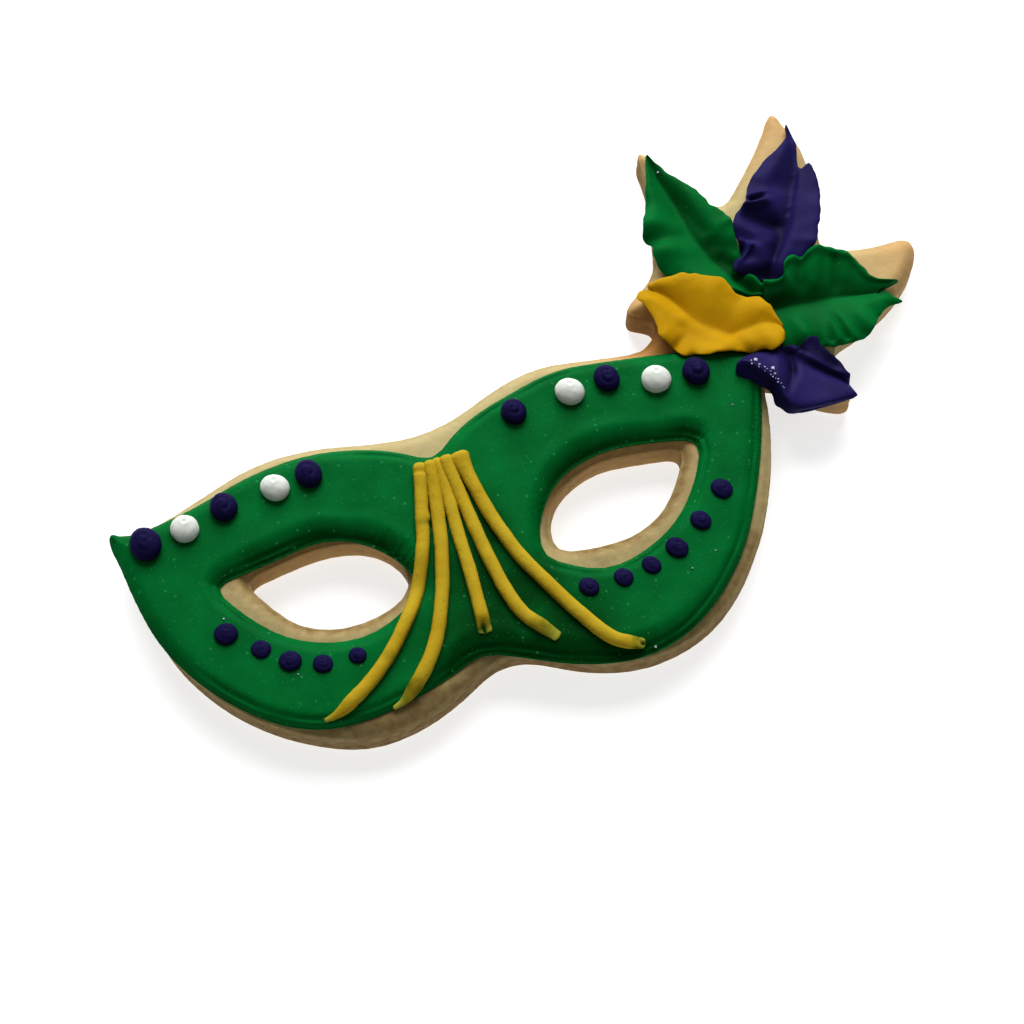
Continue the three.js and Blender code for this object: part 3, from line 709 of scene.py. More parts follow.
# Each row of drops: how wide they are for their place, how tall and long for their width, which
# way the bag was moving when they were pressed, in degrees, and how deep their curl and dimple are.
DROPS = {
    "white_brow": {
        "wide": 0.96, "tall": 0.54, "long": 1.07, "way": 131, "curl": 0.0, "dimple": 0.2,
    },
    "purple_brow": {
        "wide": 1.07, "tall": 0.54, "long": 1.14, "way": 95, "curl": 0.22, "dimple": 0.06,
    },
    "purple_cheek_left": {
        "wide": 1.0, "tall": 0.38, "long": 1.1, "way": 155, "curl": 0.09, "dimple": 0.08,
    },
    "purple_cheek_right": {
        "wide": 1.0, "tall": 0.38, "long": 1.16, "way": 126, "curl": 0.09, "dimple": 0.08,
    },
}
purple_icing = icing_finish(
    "purple_icing", PURPLE, PURPLE_DEEP, PURPLE_SPECK, share=0.3, radius=0.12
)[0]
white_icing = icing_finish("white_icing", WHITE, WHITE_DEEP, WHITE_SPECK, share=0.3)[0]


def drop_of_icing(width, kind, dice):
    """A dome turned from its profile, then pushed slightly out of round, curled and dimpled. Its
    own sizes are in millimetres until it is set down."""
    bm = bmesh.new()
    radius = width / 2
    height = width * kind["tall"] * dice.uniform(0.95, 1.05)
    profile = []
    for step in range(DOT_PROFILE_STEPS + 1):
        share = step / DOT_PROFILE_STEPS
        lean = math.pi * (share * (0.5 + LOWEST_LEAN) - LOWEST_LEAN)
        out = radius * math.cos(lean) if step < DOT_PROFILE_STEPS else 0.0
        spread = 1 - WIDEST_AT if lean > 0 else TUCK
        profile.append(bm.verts.new((out, 0, height * (WIDEST_AT + spread * math.sin(lean)))))
    rim = [bm.edges.new(pair) for pair in zip(profile, profile[1:])]
    bmesh.ops.spin(
        bm, geom=profile + rim, cent=(0, 0, 0), axis=(0, 0, 1), angle=math.tau, steps=DOT_STEPS,
        use_merge=True,
    )
    bmesh.ops.remove_doubles(bm, verts=bm.verts, dist=0.001)
    bmesh.ops.holes_fill(bm, edges=bm.edges, sides=0)
    bmesh.ops.recalc_face_normals(bm, faces=bm.faces)
    bm.normal_update()
    turn = dice.uniform(0, math.tau)
    pit = DIMPLE_TOWARDS * radius + Vector((dice.uniform(-0.1, 0.1), dice.uniform(-0.1, 0.1)))
    way = Matrix.Rotation(math.radians(kind["way"]), 3, "Z")
    long = dice.uniform(0.95, 1.04) * kind["long"]
    stretch = way @ Matrix.Diagonal((math.sqrt(long), 1 / math.sqrt(long), 1)) @ way.inverted()
    for vert in bm.verts:
        place = vert.co.copy()
        flat = place.xy
        top = between(place.z / height, 0.45, 0.9)
        swirl = (math.atan2(flat.y, flat.x) - turn) % math.tau / math.tau
        fade = top * between(swirl, 0.0, 0.15) * (1 - between(swirl, 0.7, 1.0))
        out = flat.length - radius * (CURL_INNER + CURL_WINDS_OUT * swirl)
        ridge = bump_at(out + CURL_RIDGE_IN * radius, CURL_RIDGE_WIDTH * radius)
        place.z -= kind["curl"] * fade * bump_at(out, CURL_WIDTH * radius)
        place.z += 0.5 * kind["curl"] * fade * ridge
        away = (flat - pit).length
        ring = bump_at(away - PIT_RING * radius, PIT_RING_WIDTH * radius)
        place.z -= kind["dimple"] * bump_at(away, PIT_WIDTH * radius) * top
        place.z += 0.3 * kind["dimple"] * ring * top
        place += vert.normal * unevenness(vert.co, DROP_SWELLS, turn)
        vert.co = stretch @ place
    return bm


dice = random.Random(11)
for name in sorted(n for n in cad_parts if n.startswith("dot_")):
    kind = next(kind for kind in DROPS if kind in name)
    low, high = (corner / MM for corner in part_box(name))
    width = (high.x - low.x + high.y - low.y) / 2
    bm = drop_of_icing(width * dice.uniform(0.99, 1.03) * DROPS[kind]["wide"], DROPS[kind], dice)
    middle = (low + high) / 2
    middle.z = height_on(icing_surface, middle.x, middle.y, DOUGH_THICKNESS) - DOT_SINK
    bmesh.ops.transform(bm, matrix=Matrix.Scale(MM, 4) @ Matrix.Translation(middle), verts=bm.verts)
    white = kind.startswith("white")
    drop = piece_of(bm, "drop" + name[3:], white_icing if white else purple_icing)
    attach(drop, "root")
    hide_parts(name)

# ---------------------------------------------------------------- feathers
# Each feather is one pull of stiff icing from a leaf tip: two flaps that rise from a groove to a
# thick ruffled edge. The bag's push and pull gathers the flaps into folds, and each feather lies
# over the ones piped before it.
FEATHER_ROUND = 144  # points round a feather's section
FEATHER_RINGS = 180  # sections from its base to its point
FEATHER_SMOOTHING = 8
LEAF_SWELL = 0.12
LEAF_SKIN = 0.03
GROOVE_SOFTNESS = 0.1
CURL_FROM = 0.5  # a flap starts to curl down this far out
RUFFLE_SPAN = 12  # rings: a rim's ups and downs over less than this are ruffles
RUFFLE_SWELL = 1.7  # ruffles die out towards the groove
FOOT_SHARE = 0.55  # the foot's width as a share of the flaps'
FOOT_BELOW = 0.1  # how far the foot reaches into the dough
LIP = 0.6  # how thick a flap is at its rim
LIP_BEAD = 0.6  # how high the bead along a beaded flap's rim stands
BEAD_IN = 0.75  # how far in from the rim it runs
LIP_BEAD_WIDTH = 0.55
RAGGED = 0.3  # how uneven the outline of a rim is
FOLD_SHADE = 0.5  # painted shade that each millimetre of a hollow adds, and each millimetre of a ridge takes off
LEAF_GREEN = (2, 108, 50)
LEAF_GREEN_DEEP = (1, 60, 20)
LEAF_PURPLE = (42, 37, 92)
LEAF_PURPLE_DEEP = (16, 14, 40)
LEAF_YELLOW = (186, 146, 20)
LEAF_YELLOW_DEEP = (158, 116, 4)
# A rail point is x, y and height above the dough, from the feather's base to its point. A flap
# has how it swells from the groove, under 1 if it levels out, and how far its rim curls down. A
# feather with a crest rolls over it on its right side, and one with a step stands higher on the
# right of its groove. One with a bead has a thick left rim. A fold is a ridge, or with heights
# below 0 a hollow: x, y, x, y, half width, height at each end. On the side that faces away from
# the light, painted shade lies along the groove: how deep it is and how far out it reaches.
feathers = {
    "green_left": {
        "left": [
            (55.2, 24.8, 1.5), (52.0, 26.6, 1.8), (48.0, 28.8, 2.2), (44.8, 30.9, 2.4),
            (42.5, 33.0, 2.5), (41.8, 34.3, 2.7), (41.5, 35.7, 3.1), (41.6, 37.1, 3.0),
            (42.0, 38.4, 2.5), (41.4, 39.3, 2.6), (41.2, 40.3, 3.0), (41.5, 41.5, 3.3),
            (42.2, 43.0, 3.1), (43.1, 44.5, 2.7), (43.9, 46.7, 2.5), (45.1, 49.7, 2.2),
            (45.9, 52.0, 1.8), (46.6, 54.2, 1.4),
        ],
        "groove": [
            (55.8, 25.0, 1.2), (53.4, 27.0, 1.0), (50.8, 31.0, 0.8), (49.0, 35.4, 0.7),
            (48.2, 38.8, 0.7), (47.9, 41.8, 0.7), (47.5, 45.6, 0.7), (46.8, 50.0, 0.7),
            (46.8, 54.6, 0.8),
        ],
        "right": [
            (56.2, 25.4, 1.4), (55.6, 27.0, 1.5), (55.0, 28.6, 1.6), (54.4, 30.6, 1.5),
            (54.3, 32.4, 1.7), (54.4, 34.0, 2.3), (54.5, 35.8, 2.8), (54.7, 37.6, 3.0),
            (54.7, 38.9, 3.0), (54.3, 40.2, 2.8), (53.6, 41.2, 2.7), (52.8, 42.3, 2.7),
            (52.3, 43.8, 2.7), (51.6, 45.6, 2.6), (50.1, 47.9, 2.4), (48.7, 50.0, 2.1),
            (48.1, 51.5, 1.8), (47.4, 53.0, 1.6), (46.9, 54.5, 1.4),
        ],
        "flaps": {"left": (0.8, 0.9), "right": (0.6, 0.6)},
        "painted_shade_side": "right", "deep": 0.5, "painted_shade_width": 2.4,
        "folds": [
            (41.3, 42.4, 46.4, 40.6, 1.3, 0.55, 0.3), (41.3, 39.6, 46.4, 38.6, 1.0, -0.6, -0.1),
            (42.2, 37.2, 47.2, 35.8, 1.4, 0.5, 0.3), (41.6, 33.6, 45.8, 32.0, 1.3, -0.35, -0.1),
            (43.2, 46.0, 46.2, 44.4, 1.3, -0.25, 0.0), (54.8, 38.6, 51.6, 37.9, 0.8, 0.6, 0.0),
            (50.4, 38.6, 48.4, 45.0, 0.9, -0.45, -0.25), (53.4, 34.2, 50.8, 35.8, 1.2, -0.5, -0.5),
            (54.2, 28.9, 55.0, 26.4, 0.7, 1.0, 1.0), (52.4, 29.4, 53.4, 26.4, 0.8, -0.8, -0.8),
            (51.4, 33.2, 53.9, 29.8, 1.1, -0.7, -0.8),
        ],
        "colour": "green",
    },
    "purple_top": {
        "left": [
            (55.4, 28.0, 1.0), (53.8, 29.2, 2.1), (52.7, 29.9, 2.8), (52.3, 30.6, 2.9),
            (52.6, 31.6, 2.4), (53.5, 32.6, 2.1), (54.4, 33.7, 1.9), (54.7, 34.9, 2.0),
            (54.5, 36.1, 2.3), (54.4, 37.1, 2.5), (54.9, 38.0, 2.8), (55.6, 39.0, 3.0),
            (56.8, 40.0, 3.0), (57.7, 40.5, 3.2), (58.2, 41.5, 3.2), (59.1, 43.2, 3.0),
            (60.5, 44.8, 2.8), (62.2, 46.1, 2.6), (64.0, 47.3, 2.5), (66.0, 48.5, 2.3),
            (67.7, 49.7, 2.0), (68.6, 50.8, 1.7), (69.1, 52.6, 1.3),
        ],
        "groove": [
            (57.0, 27.0, 0.9), (58.2, 29.4, 1.0), (60.1, 31.8, 1.0), (62.0, 34.0, 1.1),
            (63.3, 35.8, 1.1), (64.6, 38.5, 1.2), (66.0, 40.8, 1.2), (67.0, 42.6, 1.2),
            (67.9, 45.0, 1.3), (68.6, 48.4, 1.3), (69.2, 52.9, 1.1),
        ],
        "right": [
            (59.6, 26.6, 0.7), (62.0, 28.4, 1.5), (64.0, 30.1, 2.2), (65.4, 30.8, 2.5),
            (66.2, 31.9, 2.6), (66.7, 33.1, 2.6), (67.8, 35.0, 2.7), (68.6, 37.0, 2.7),
            (69.6, 39.5, 2.5), (70.1, 41.2, 2.4), (70.1, 43.0, 2.1), (70.1, 43.9, 2.0),
            (69.9, 44.9, 1.9), (69.5, 44.1, 1.7), (69.1, 43.7, 1.6), (68.4, 43.6, 1.5),
            (68.1, 44.2, 1.4), (68.6, 46.4, 1.6),
            (69.3, 48.4, 1.6), (69.3, 49.8, 1.6), (69.3, 51.2, 1.4), (69.3, 52.7, 1.3),
        ],
        "flaps": {"left": (0.8, 0.6), "right": (0.65, 0.3)},
        "painted_shade_side": "left", "deep": 0.25, "painted_shade_width": 1.5,
        "step": 0.5,
        "folds": [
            (57.6, 40.2, 60.3, 39.5, 0.6, 1.0, 0.9), (60.8, 40.2, 62.4, 36.8, 1.0, 0.9, 0.4),
            (58.8, 40.8, 60.7, 40.8, 0.4, -1.4, -1.3), (58.6, 41.5, 61.2, 41.5, 0.45, 0.25, 0.4),
            (57.6, 38.5, 60.9, 36.2, 1.0, -0.8, -1.1), (55.0, 37.4, 58.8, 33.4, 1.0, 0.4, 0.4),
            (54.9, 34.9, 55.9, 33.4, 0.35, 0.6, 1.1), (55.9, 33.2, 53.4, 31.4, 0.35, 1.2, 0.5),
            (54.9, 34.2, 53.9, 32.8, 0.5, -1.0, -0.8), (56.8, 32.7, 57.6, 30.7, 0.9, 0.9, 0.5),
            (53.0, 29.8, 57.4, 28.6, 0.9, -0.8, -0.8), (63.2, 37.4, 58.0, 29.6, 0.7, -0.4, -0.5),
            (68.2, 48.6, 62.6, 43.6, 1.1, 0.3, 0.2), (65.4, 42.0, 60.6, 43.0, 1.6, -0.3, -0.3),
            (69.0, 40.0, 66.8, 39.0, 1.2, -0.15, 0.0), (65.6, 31.0, 62.6, 32.4, 0.8, 0.3, 0.1),
            (55.6, 27.9, 60.2, 26.7, 0.9, -0.6, -0.6),
        ],
        "colour": "purple",
    },
    "green_right": {
        "left": [
            (55.0, 27.4, 3.0), (55.5, 27.2, 3.3), (56.6, 26.5, 3.6), (58.0, 26.4, 3.7),
            (58.9, 27.1, 3.8), (59.1, 28.3, 3.8), (60.0, 29.3, 3.8), (61.4, 29.5, 3.6),
            (62.5, 29.1, 3.3), (63.6, 29.6, 3.6), (65.0, 29.8, 3.5), (66.9, 29.4, 3.1),
            (68.6, 28.3, 2.8), (69.9, 27.3, 2.4), (70.8, 25.4, 2.0), (71.6, 23.6, 1.7),
            (72.8, 22.5, 1.5), (74.2, 21.9, 1.4), (75.4, 21.4, 1.3), (74.4, 21.1, 1.1),
            (73.0, 20.9, 1.0), (71.9, 20.6, 0.9),
        ],
        "groove": [
            (54.0, 22.4, 0.8), (56.6, 22.3, 0.8), (59.0, 22.1, 0.7), (62.0, 21.7, 0.7),
            (65.0, 21.5, 0.7), (67.8, 21.0, 0.7), (69.6, 20.7, 0.7), (70.6, 20.5, 0.7),
            (71.4, 20.4, 0.7),
        ],
        "right": [
            (54.4, 15.6, 0.9), (56.6, 15.0, 1.2), (58.6, 14.8, 2.0), (60.3, 14.3, 2.6),
            (61.9, 13.6, 2.7), (63.8, 13.4, 2.8), (65.5, 13.5, 2.8), (67.1, 13.9, 2.7),
            (68.8, 15.0, 2.6), (70.4, 16.7, 2.3), (72.3, 17.8, 1.9), (74.7, 18.2, 1.4),
            (74.0, 19.2, 1.3), (73.2, 20.4, 1.2), (72.2, 20.5, 1.0),
        ],
        "flaps": {"left": (0.75, 0.5), "right": (0.7, 1.0)},
        "painted_shade_side": "left", "deep": 0.75, "painted_shade_width": 3.4,
        "folds": [
            (65.0, 29.4, 63.0, 24.8, 0.9, 0.6, 0.4), (61.9, 28.4, 60.8, 25.0, 0.9, -0.8, -0.5),
            (67.3, 27.6, 66.0, 23.6, 0.8, -0.6, -0.4), (69.2, 27.2, 67.6, 24.0, 0.8, 0.35, 0.2),
            (59.0, 26.6, 59.6, 24.4, 0.6, 0.2, 0.2), (64.0, 14.4, 63.6, 18.4, 0.45, -0.6, -0.3),
            (65.0, 14.2, 64.4, 18.4, 0.6, 0.35, 0.15), (61.7, 14.8, 62.3, 17.0, 0.45, -0.5, -0.15),
            (62.8, 14.4, 62.8, 17.8, 0.6, 0.35, 0.15), (59.7, 15.6, 60.1, 18.6, 0.8, -0.6, -0.2),
            (58.0, 16.8, 57.8, 19.4, 1.2, 0.6, 0.4), (66.7, 14.4, 65.8, 17.4, 0.9, -0.4, -0.1),
            (68.2, 15.2, 67.0, 18.2, 0.9, 0.3, 0.1), (70.0, 16.6, 69.0, 19.0, 0.8, -0.2, 0.0),
            (55.6, 23.4, 61.0, 22.8, 1.0, -0.3, -0.1),
        ],
        "bead": True,
        "colour": "green",
    },
    "purple_low": {
        "left": [
            (46.6, 15.2, 2.6), (47.5, 15.9, 2.3), (48.8, 16.4, 2.0), (50.6, 16.6, 1.7),
            (52.6, 16.4, 1.8), (54.4, 16.2, 2.1), (55.8, 15.9, 2.3), (56.8, 15.3, 2.4),
            (57.4, 15.3, 2.5), (57.9, 15.9, 2.6), (58.9, 16.3, 2.6), (59.7, 15.9, 2.6),
            (59.9, 14.8, 2.4), (60.3, 13.7, 2.3), (61.1, 12.5, 2.1), (61.6, 11.2, 1.9),
            (62.0, 10.1, 1.6), (62.5, 9.3, 1.4), (62.9, 8.8, 1.3),
        ],
        "groove": [
            (46.5, 14.9, 2.6), (48.4, 15.5, 2.6), (51.0, 15.5, 2.4), (53.6, 15.0, 2.1),
            (55.6, 14.0, 1.6), (56.8, 12.5, 1.2), (58.2, 10.8, 1.0), (59.9, 9.5, 0.8),
            (60.7, 8.5, 0.8),
        ],
        "crest": [
            (46.3, 14.6, 3.2), (47.2, 14.7, 3.8), (48.0, 14.2, 4.0), (48.7, 13.5, 4.1),
            (49.4, 12.6, 4.1), (50.2, 11.6, 4.0), (50.8, 10.6, 3.9), (51.3, 9.4, 3.7),
            (51.6, 8.2, 3.3), (52.2, 7.0, 2.9), (53.6, 6.2, 2.5), (56.2, 5.9, 2.1),
            (59.0, 5.8, 1.8), (62.0, 5.9, 1.4),
        ],
        "right": [
            (46.2, 14.3, 2.2), (46.4, 13.7, 1.8), (47.2, 12.9, 1.6), (48.3, 12.1, 1.4),
            (49.3, 11.2, 1.0), (50.2, 10.6, 0.6), (50.5, 9.5, 0.4), (50.3, 8.4, 0.4),
            (50.6, 7.4, 0.5), (51.2, 6.5, 0.6), (52.1, 5.8, 0.8), (53.6, 5.4, 1.0),
            (56.0, 5.2, 1.2), (58.8, 5.1, 1.2), (60.8, 5.0, 1.2), (62.6, 5.3, 1.1),
        ],
        "flaps": {"left": (0.8, 0.3), "right": (0.8, 0.0)},
        "painted_shade_side": "left", "deep": 0.45, "painted_shade_width": 3.6,
        "folds": [
            (54.9, 15.2, 54.7, 12.3, 0.8, -0.7, -1.0), (54.7, 12.3, 52.2, 8.6, 0.6, -0.9, -0.4),
            (52.7, 14.8, 52.2, 11.4, 0.8, 0.3, 0.3), (56.4, 11.4, 60.6, 6.8, 1.4, 0.4, 0.25),
            (58.6, 15.2, 60.6, 11.0, 1.1, -0.5, -0.6), (56.6, 14.0, 61.2, 9.4, 0.45, 0.5, 0.3),
            (55.9, 13.5, 61.2, 8.3, 0.4, -0.8, -0.4), (56.7, 15.4, 57.2, 13.8, 0.5, -0.5, -0.3),
        ],
        "colour": "purple",
    },
    "yellow": {
        "left": [
            (55.5, 17.6, 3.1), (54.8, 16.5, 3.4), (53.9, 15.8, 3.6), (52.6, 15.3, 3.5),
            (51.5, 15.9, 3.2), (50.5, 16.4, 2.9), (49.5, 16.6, 2.8), (48.2, 17.0, 2.9),
            (46.8, 17.4, 3.0), (45.2, 17.6, 3.1), (43.6, 17.9, 3.0), (42.3, 18.4, 2.8),
            (41.5, 18.9, 2.6), (40.8, 18.9, 2.7), (39.8, 19.2, 2.7), (39.4, 20.0, 2.5),
            (39.2, 21.0, 2.4), (38.4, 22.0, 2.6), (37.6, 23.2, 2.9), (37.8, 25.2, 3.1),
            (37.5, 27.7, 3.0), (37.1, 29.4, 2.9), (36.5, 30.3, 2.7), (36.8, 31.1, 2.5),
            (37.6, 31.5, 2.4), (38.4, 31.3, 2.2), (38.9, 31.0, 1.9),
        ],
        "groove": [
            (55.4, 18.4, 3.0), (54.1, 19.6, 2.7), (52.2, 20.2, 2.2), (49.6, 20.4, 1.6),
            (47.8, 20.5, 1.2), (46.3, 21.6, 1.0), (44.4, 23.3, 1.0), (43.0, 25.2, 1.0),
            (42.0, 27.8, 1.0), (40.8, 29.8, 1.2), (39.2, 31.1, 1.5),
        ],
        "right": [
            (55.6, 18.4, 3.1), (55.4, 19.8, 3.3), (55.2, 21.2, 3.3), (54.8, 23.0, 3.2),
            (54.1, 24.6, 3.1), (52.4, 25.6, 2.8), (51.1, 26.7, 2.8), (50.4, 28.2, 3.0),
            (49.8, 29.4, 3.1), (48.3, 30.3, 3.1), (46.5, 31.4, 3.0), (44.6, 32.2, 2.9),
            (43.3, 32.4, 2.7), (42.2, 32.4, 2.6), (41.0, 32.4, 2.5), (39.8, 32.5, 2.4),
            (39.0, 32.2, 2.3), (39.0, 31.6, 2.0),
        ],
        "flaps": {"left": (0.75, 0.4), "right": (0.88, 0.55)},
        "painted_shade_side": "right", "deep": 0.6, "painted_shade_width": 3.0,
        "folds": [
            (38.4, 29.8, 41.9, 25.1, 1.0, 0.3, 0.3), (41.9, 25.1, 46.9, 19.4, 1.0, 0.3, 0.2),
            (39.1, 20.9, 41.6, 22.6, 0.6, -0.7, -0.1), (41.1, 18.7, 41.9, 20.6, 0.45, -0.4, 0.0),
            (49.4, 16.4, 48.0, 19.6, 0.9, -0.8, -0.2), (53.2, 15.8, 52.4, 18.8, 1.5, 0.5, 0.4),
            (45.0, 17.8, 45.4, 20.2, 1.5, 0.35, 0.1), (52.0, 26.0, 48.6, 23.0, 1.2, -0.35, -0.1),
            (49.6, 29.8, 46.8, 25.8, 1.4, 0.3, 0.1), (54.6, 22.6, 50.6, 21.8, 1.3, 0.3, 0.1),
            (37.9, 22.8, 40.4, 24.6, 0.9, 0.3, 0.1),
        ],
        "colour": "yellow",
    },
}
leaf_finish = {
    "green": icing_finish(
        "green_leaf_icing", LEAF_GREEN, LEAF_GREEN_DEEP, GREEN_SPECK, share=0.1
    )[0],
    "purple": icing_finish(
        "purple_leaf_icing", LEAF_PURPLE, LEAF_PURPLE_DEEP, PURPLE_SPECK, share=0.1, gloss=0.045
    )[0],
    "yellow": icing_finish(
        "yellow_leaf_icing", LEAF_YELLOW, LEAF_YELLOW_DEEP, YELLOW_SPECK, share=0.1, radius=0.1
    )[0],
}


def level_of(rail):
    """The heights along a rail with its ruffles levelled out."""
    heights = [spot.z for spot in rail]
    level = []
    for k in range(len(heights)):
        nearby = heights[max(0, k - RUFFLE_SPAN):k + RUFFLE_SPAN + 1]
        level.append(sum(nearby) / len(nearby))
    return level


def feather_of_icing(shape, seed):
    """A feather drawn out along its rails. Each ring of points goes over both flaps from rim to
    rim, and back beneath them."""
    names = [name for name in ("left", "groove", "crest", "right") if name in shape]
    rails = {name: path_through(shape[name], FEATHER_RINGS + 1)[0] for name in names}
    level = {name: level_of(rails[name]) for name in ("left", "right")}
    folds = [(Vector((a, b, 0)), Vector((c, d, 0)), *rest) for a, b, c, d, *rest in shape["folds"]]
    bm = bmesh.new()
    bmesh.ops.create_uvsphere(bm, u_segments=FEATHER_ROUND, v_segments=FEATHER_RINGS, radius=1)
    shade_layer = bm.verts.layers.float.new("pooled")
    for vert, ring, angle in rings_of(bm):
        k = round(ring * FEATHER_RINGS)
        across = math.cos(angle)
        share = abs(across) if 0 < k < FEATHER_RINGS else 0.0
        side = "right" if across > 0 else "left"
        groove = rails["groove"][k]
        rim = rails[side][k]
        if side == "right" and "crest" in shape:
            # A cubic curve from the groove to the rim, which passes through the crest halfway.
            pull = (rails["crest"][k] - 0.125 * (groove + rim)) / 0.75
            spot = (1 - share) ** 3 * groove + 3 * share * (1 - share) * pull + share**3 * rim
            top = spot.z
        else:
            # The flap rises from a soft groove, ruffles more and more and curls down at its rim.
            swell, curl = shape["flaps"][side]
            spot = groove.lerp(rim, share)
            soft = math.hypot(share, GROOVE_SOFTNESS) - GROOVE_SOFTNESS
            soft /= math.hypot(1, GROOVE_SOFTNESS) - GROOVE_SOFTNESS
            rise = (level[side][k] - groove.z) * soft**swell
            ruffle = (rim.z - level[side][k]) * share**RUFFLE_SWELL
            curled = curl * max(0.0, (share - CURL_FROM) / (1 - CURL_FROM)) ** 2
            top = groove.z + rise + ruffle - curled
            if side == "right" and "step" in shape:
                ends = between(ring, 0.02, 0.12) * (1 - between(ring, 0.6, 0.75))
                top += shape["step"] * ends * (1 - between(share, 0.1, 0.7))
            if side == "left" and "bead" in shape:
                inside = (1 - share) * (rim - groove).length
                top += LIP_BEAD * bump_at(inside - BEAD_IN, LIP_BEAD_WIDTH)

        # Folds raise or lower it, put painted shade in its hollows and take it off its ridges.
        flat = Vector((spot.x, spot.y, 0))
        shade = 0.0
        for start, end, wide, first, last in folds:
            _, along = intersect_point_line(flat, start, end)
            along = min(1.0, max(0.0, along))
            away = (flat - start.lerp(end, along)).length
            fold = (first + (last - first) * along) * bump_at(away, wide)
            top += fold
            shade -= FOLD_SHADE * fold
        # Painted shade along the groove on the side that faces away from the light.
        if side == shape["painted_shade_side"]:
            out = share * (rim - groove).length
            shade += shape["deep"] * bump_at(out, shape["painted_shade_width"]) * between(out, 0.0, 0.7)
        vert[shade_layer] = min(1.0, max(0.0, shade))

        # The upper half of a ring is the top. The lower half lies a lip's thickness under it at the
        # rims, and comes down to the dough as the foot in the middle.
        top += LEAF_SWELL * grain(flat, 2.4, seed) * share + LEAF_SKIN * grain(flat, 0.8, seed)
        lip = LIP * math.sqrt(max(0.0, 1 - share**8))
        if angle > 0:
            height = top - LIP / 2 + lip / 2
        else:
            clear = between(share, FOOT_SHARE, 0.97)
            height = (top - LIP / 2 - lip / 2) * clear - FOOT_BELOW * (1 - clear)
        outward = (rim - groove).normalized()
        spot += outward * RAGGED * grain(flat, 1.1, seed + 2) * share**4
        spot.z = DOUGH_THICKNESS + max(height, -FOOT_BELOW)
        vert.co = spot * MM
    smooth(bm, FEATHER_SMOOTHING)
    bmesh.ops.recalc_face_normals(bm, faces=bm.faces)
    return bm


feather_surface = {}
for number, (name, shape) in enumerate(feathers.items()):
    bm = feather_of_icing(shape, 5.0 * number)
    feather_surface[name] = BVHTree.FromBMesh(bm)
    leaf = piece_of(bm, "leaf_" + name, leaf_finish[shape["colour"]])
    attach(leaf, "root")
    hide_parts("feather_" + name)

# ---------------------------------------------------------------- sugar grains
# Coarse sugar that fell on the icing while it was soft: a sprinkle along the lip of the lowest
# feather, and a few stray grains elsewhere.
SUGAR = (206, 205, 226)
SUGAR_CLOUDY = (124, 122, 158)
GRAIN_SIDE = 0.85  # a grain's side, as a share of its size
GRAIN_WORN = 0.16  # how far its edges are worn off
GRAIN_SINK = 0.25  # and how deep it sits
ON_LOW_FEATHER = [  # x, y and size
    (49.2, 14.2, 0.6), (51.1, 12.1, 0.6), (48.5, 14.2, 0.35), (48.4, 13.7, 0.3),
    (49.4, 13.2, 0.42), (49.2, 12.9, 0.25), (50.0, 12.6, 0.25), (49.8, 12.0, 0.22),
    (50.2, 12.2, 0.26), (51.0, 11.1, 0.42), (50.4, 11.2, 0.22), (50.6, 10.8, 0.2),
    (51.0, 9.8, 0.3), (51.2, 10.2, 0.26), (51.4, 9.5, 0.24), (51.6, 8.8, 0.22), (50.9, 10.4, 0.18),
    (50.6, 11.7, 0.2), (51.5, 9.0, 0.18),
]
STRAYS = [  # x, y, size and what it lies on
    (47.3, 50.4, 0.4, feather_surface["green_left"]),
    (20.6, -22.2, 0.35, icing_surface),
    (-35.6, 0.6, 0.3, icing_surface),
    (-28.0, -10.6, 0.25, icing_surface),
    (29.4, -13.0, 0.28, icing_surface),
    (44.0, 9.4, 0.25, icing_surface),
    (33.5, -11.5, 0.25, icing_surface),
]
bm = bmesh.new()
dice = random.Random(5)
scattered = [(x, y, size, feather_surface["purple_low"]) for x, y, size in ON_LOW_FEATHER]
for x, y, size, ground in scattered + STRAYS:
    height = height_on(ground, x, y, DOUGH_THICKNESS) + (0.5 - GRAIN_SINK) * size
    turn = Euler([dice.uniform(0, math.tau) for _ in range(3)]).to_matrix().to_4x4()
    stretch = Matrix.Diagonal([size * dice.uniform(0.8, 1.1) for _ in range(3)] + [1])
    place = Matrix.Translation((x, y, height)) @ turn @ stretch
    crystal = bmesh.ops.create_cube(bm, size=GRAIN_SIDE, matrix=Matrix.Scale(MM, 4) @ place)
    sharp = {edge for vert in crystal["verts"] for edge in vert.link_edges}
    bmesh.ops.bevel(
        bm, geom=list(sharp), offset=GRAIN_WORN * size * MM, affect="EDGES", segments=1,
        profile=0.5, material=-1,
    )
bmesh.ops.recalc_face_normals(bm, faces=bm.faces)
material, tree, surface = new_finish("sugar")
place = node(tree, "TexCoord").outputs["Object"]
cloudy = ramp(tree, noise_in(tree, place, 0.3, 3.0), 0.3, 0.7)
clear = mixed(tree, cloudy, colour(*SUGAR), colour(*SUGAR_CLOUDY))
tree.links.new(clear, surface.inputs["Base Color"])
surface.inputs["Roughness"].default_value = 0.22
surface.inputs["Specular IOR Level"].default_value = 0.4
grains = piece_of(bm, "sugar_grains", material)
grains.data.shade_flat()
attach(grains, "root")

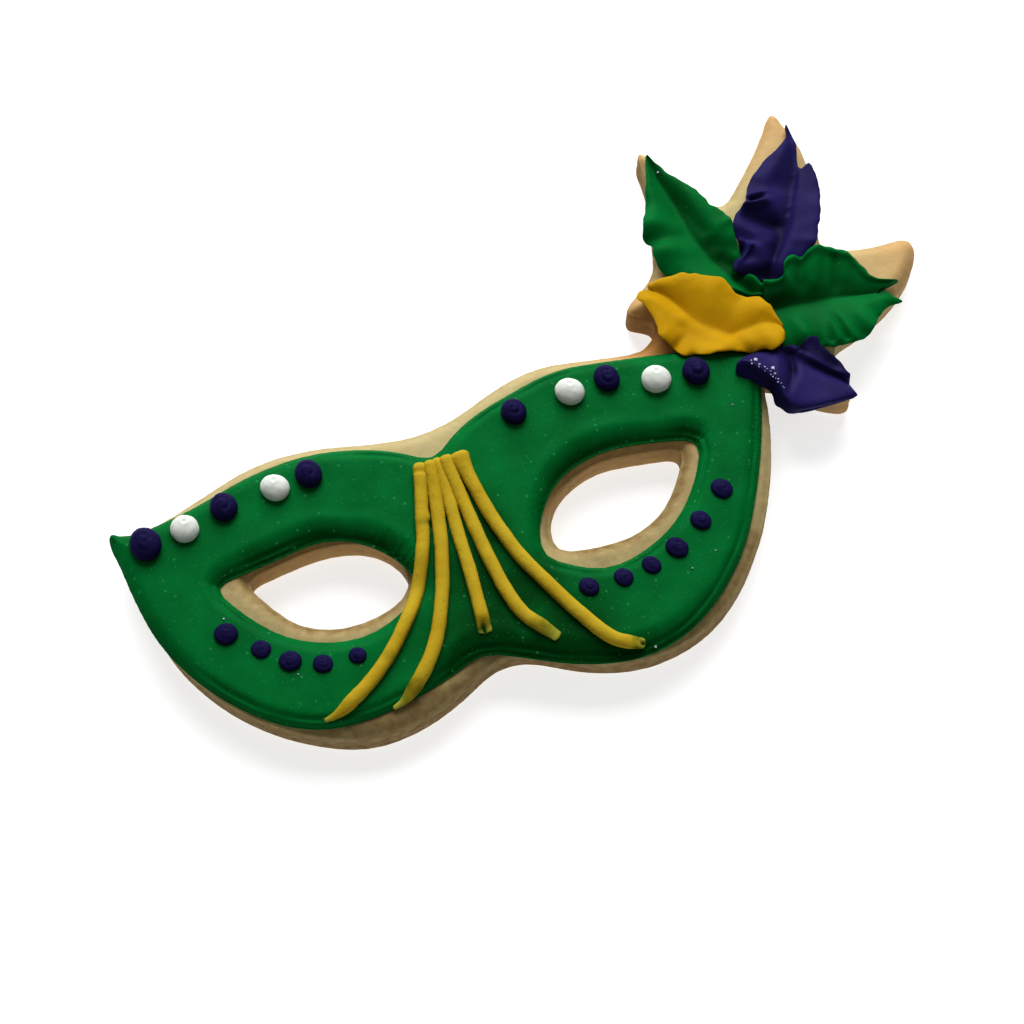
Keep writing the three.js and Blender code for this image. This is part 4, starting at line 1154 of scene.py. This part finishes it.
# ---------------------------------------------------------------- table, light and camera
# The cookie lies on a white table under a large soft window light from beyond it, with a weak
# fill from the near side.
TABLE_SIDE = 8000
TABLE_GREY = (190, 190, 190)
TABLE_GLOW = 0.6
ROOM_GLOW = 0.16
LAMPS = [  # name, azimuth and elevation in degrees, distance, side and power in watts
    ("window", 163, 38, 900, 800, 12.0),
    ("fill", -30, 60, 900, 900, 0.5),
]
LOOK_AT = Vector((8.5, 5.0, 4.0))
AZIMUTH = -18.5
ELEVATION = 66
DISTANCE = 330

bm = bmesh.new()
bmesh.ops.create_grid(bm, x_segments=1, y_segments=1, size=TABLE_SIDE / 2 * MM)
table_finish, tree, surface = new_finish("table")
surface.inputs["Base Color"].default_value = colour(*TABLE_GREY)
surface.inputs["Roughness"].default_value = 0.9
surface.inputs["Specular IOR Level"].default_value = 0.0
surface.inputs["Emission Color"].default_value = (1, 1, 1, 1)
surface.inputs["Emission Strength"].default_value = TABLE_GLOW
table = piece_of(bm, "table", table_finish)


def face_cookie(thing, azimuth, elevation, distance):
    """Stand a lamp or the camera off from the cookie, turned towards it. Angles are in degrees."""
    a = math.radians(azimuth)
    e = math.radians(elevation)
    back = Vector((math.sin(a) * math.cos(e), -math.cos(a) * math.cos(e), math.sin(e)))
    thing.location = (LOOK_AT + back * distance) * MM
    thing.rotation_mode = "QUATERNION"
    thing.rotation_quaternion = (-back).to_track_quat("-Z", "Y")


for name, azimuth, elevation, distance, side, power in LAMPS:
    lamp = bpy.data.lights.new(name, "AREA")
    lamp.shape = "SQUARE"
    lamp.size = side * MM
    lamp.energy = power
    face_cookie(in_scene(name, lamp), azimuth, elevation, distance)

world = bpy.data.worlds.new("room")
bpy.context.scene.world = world
world.use_nodes = True
background = world.node_tree.nodes["Background"]
background.inputs["Color"].default_value = (1, 1, 1, 1)
background.inputs["Strength"].default_value = ROOM_GLOW

camera = in_scene("camera", bpy.data.cameras.new("camera"))
camera.data.lens = 80
camera.data.sensor_width = 36
camera.data.clip_start = 0.01
camera.data.clip_end = 10
face_cookie(camera, AZIMUTH, ELEVATION, DISTANCE)
bpy.context.scene.camera = camera
bpy.context.scene.view_settings.view_transform = "Standard"
bpy.context.scene.view_settings.look = "Medium High Contrast"
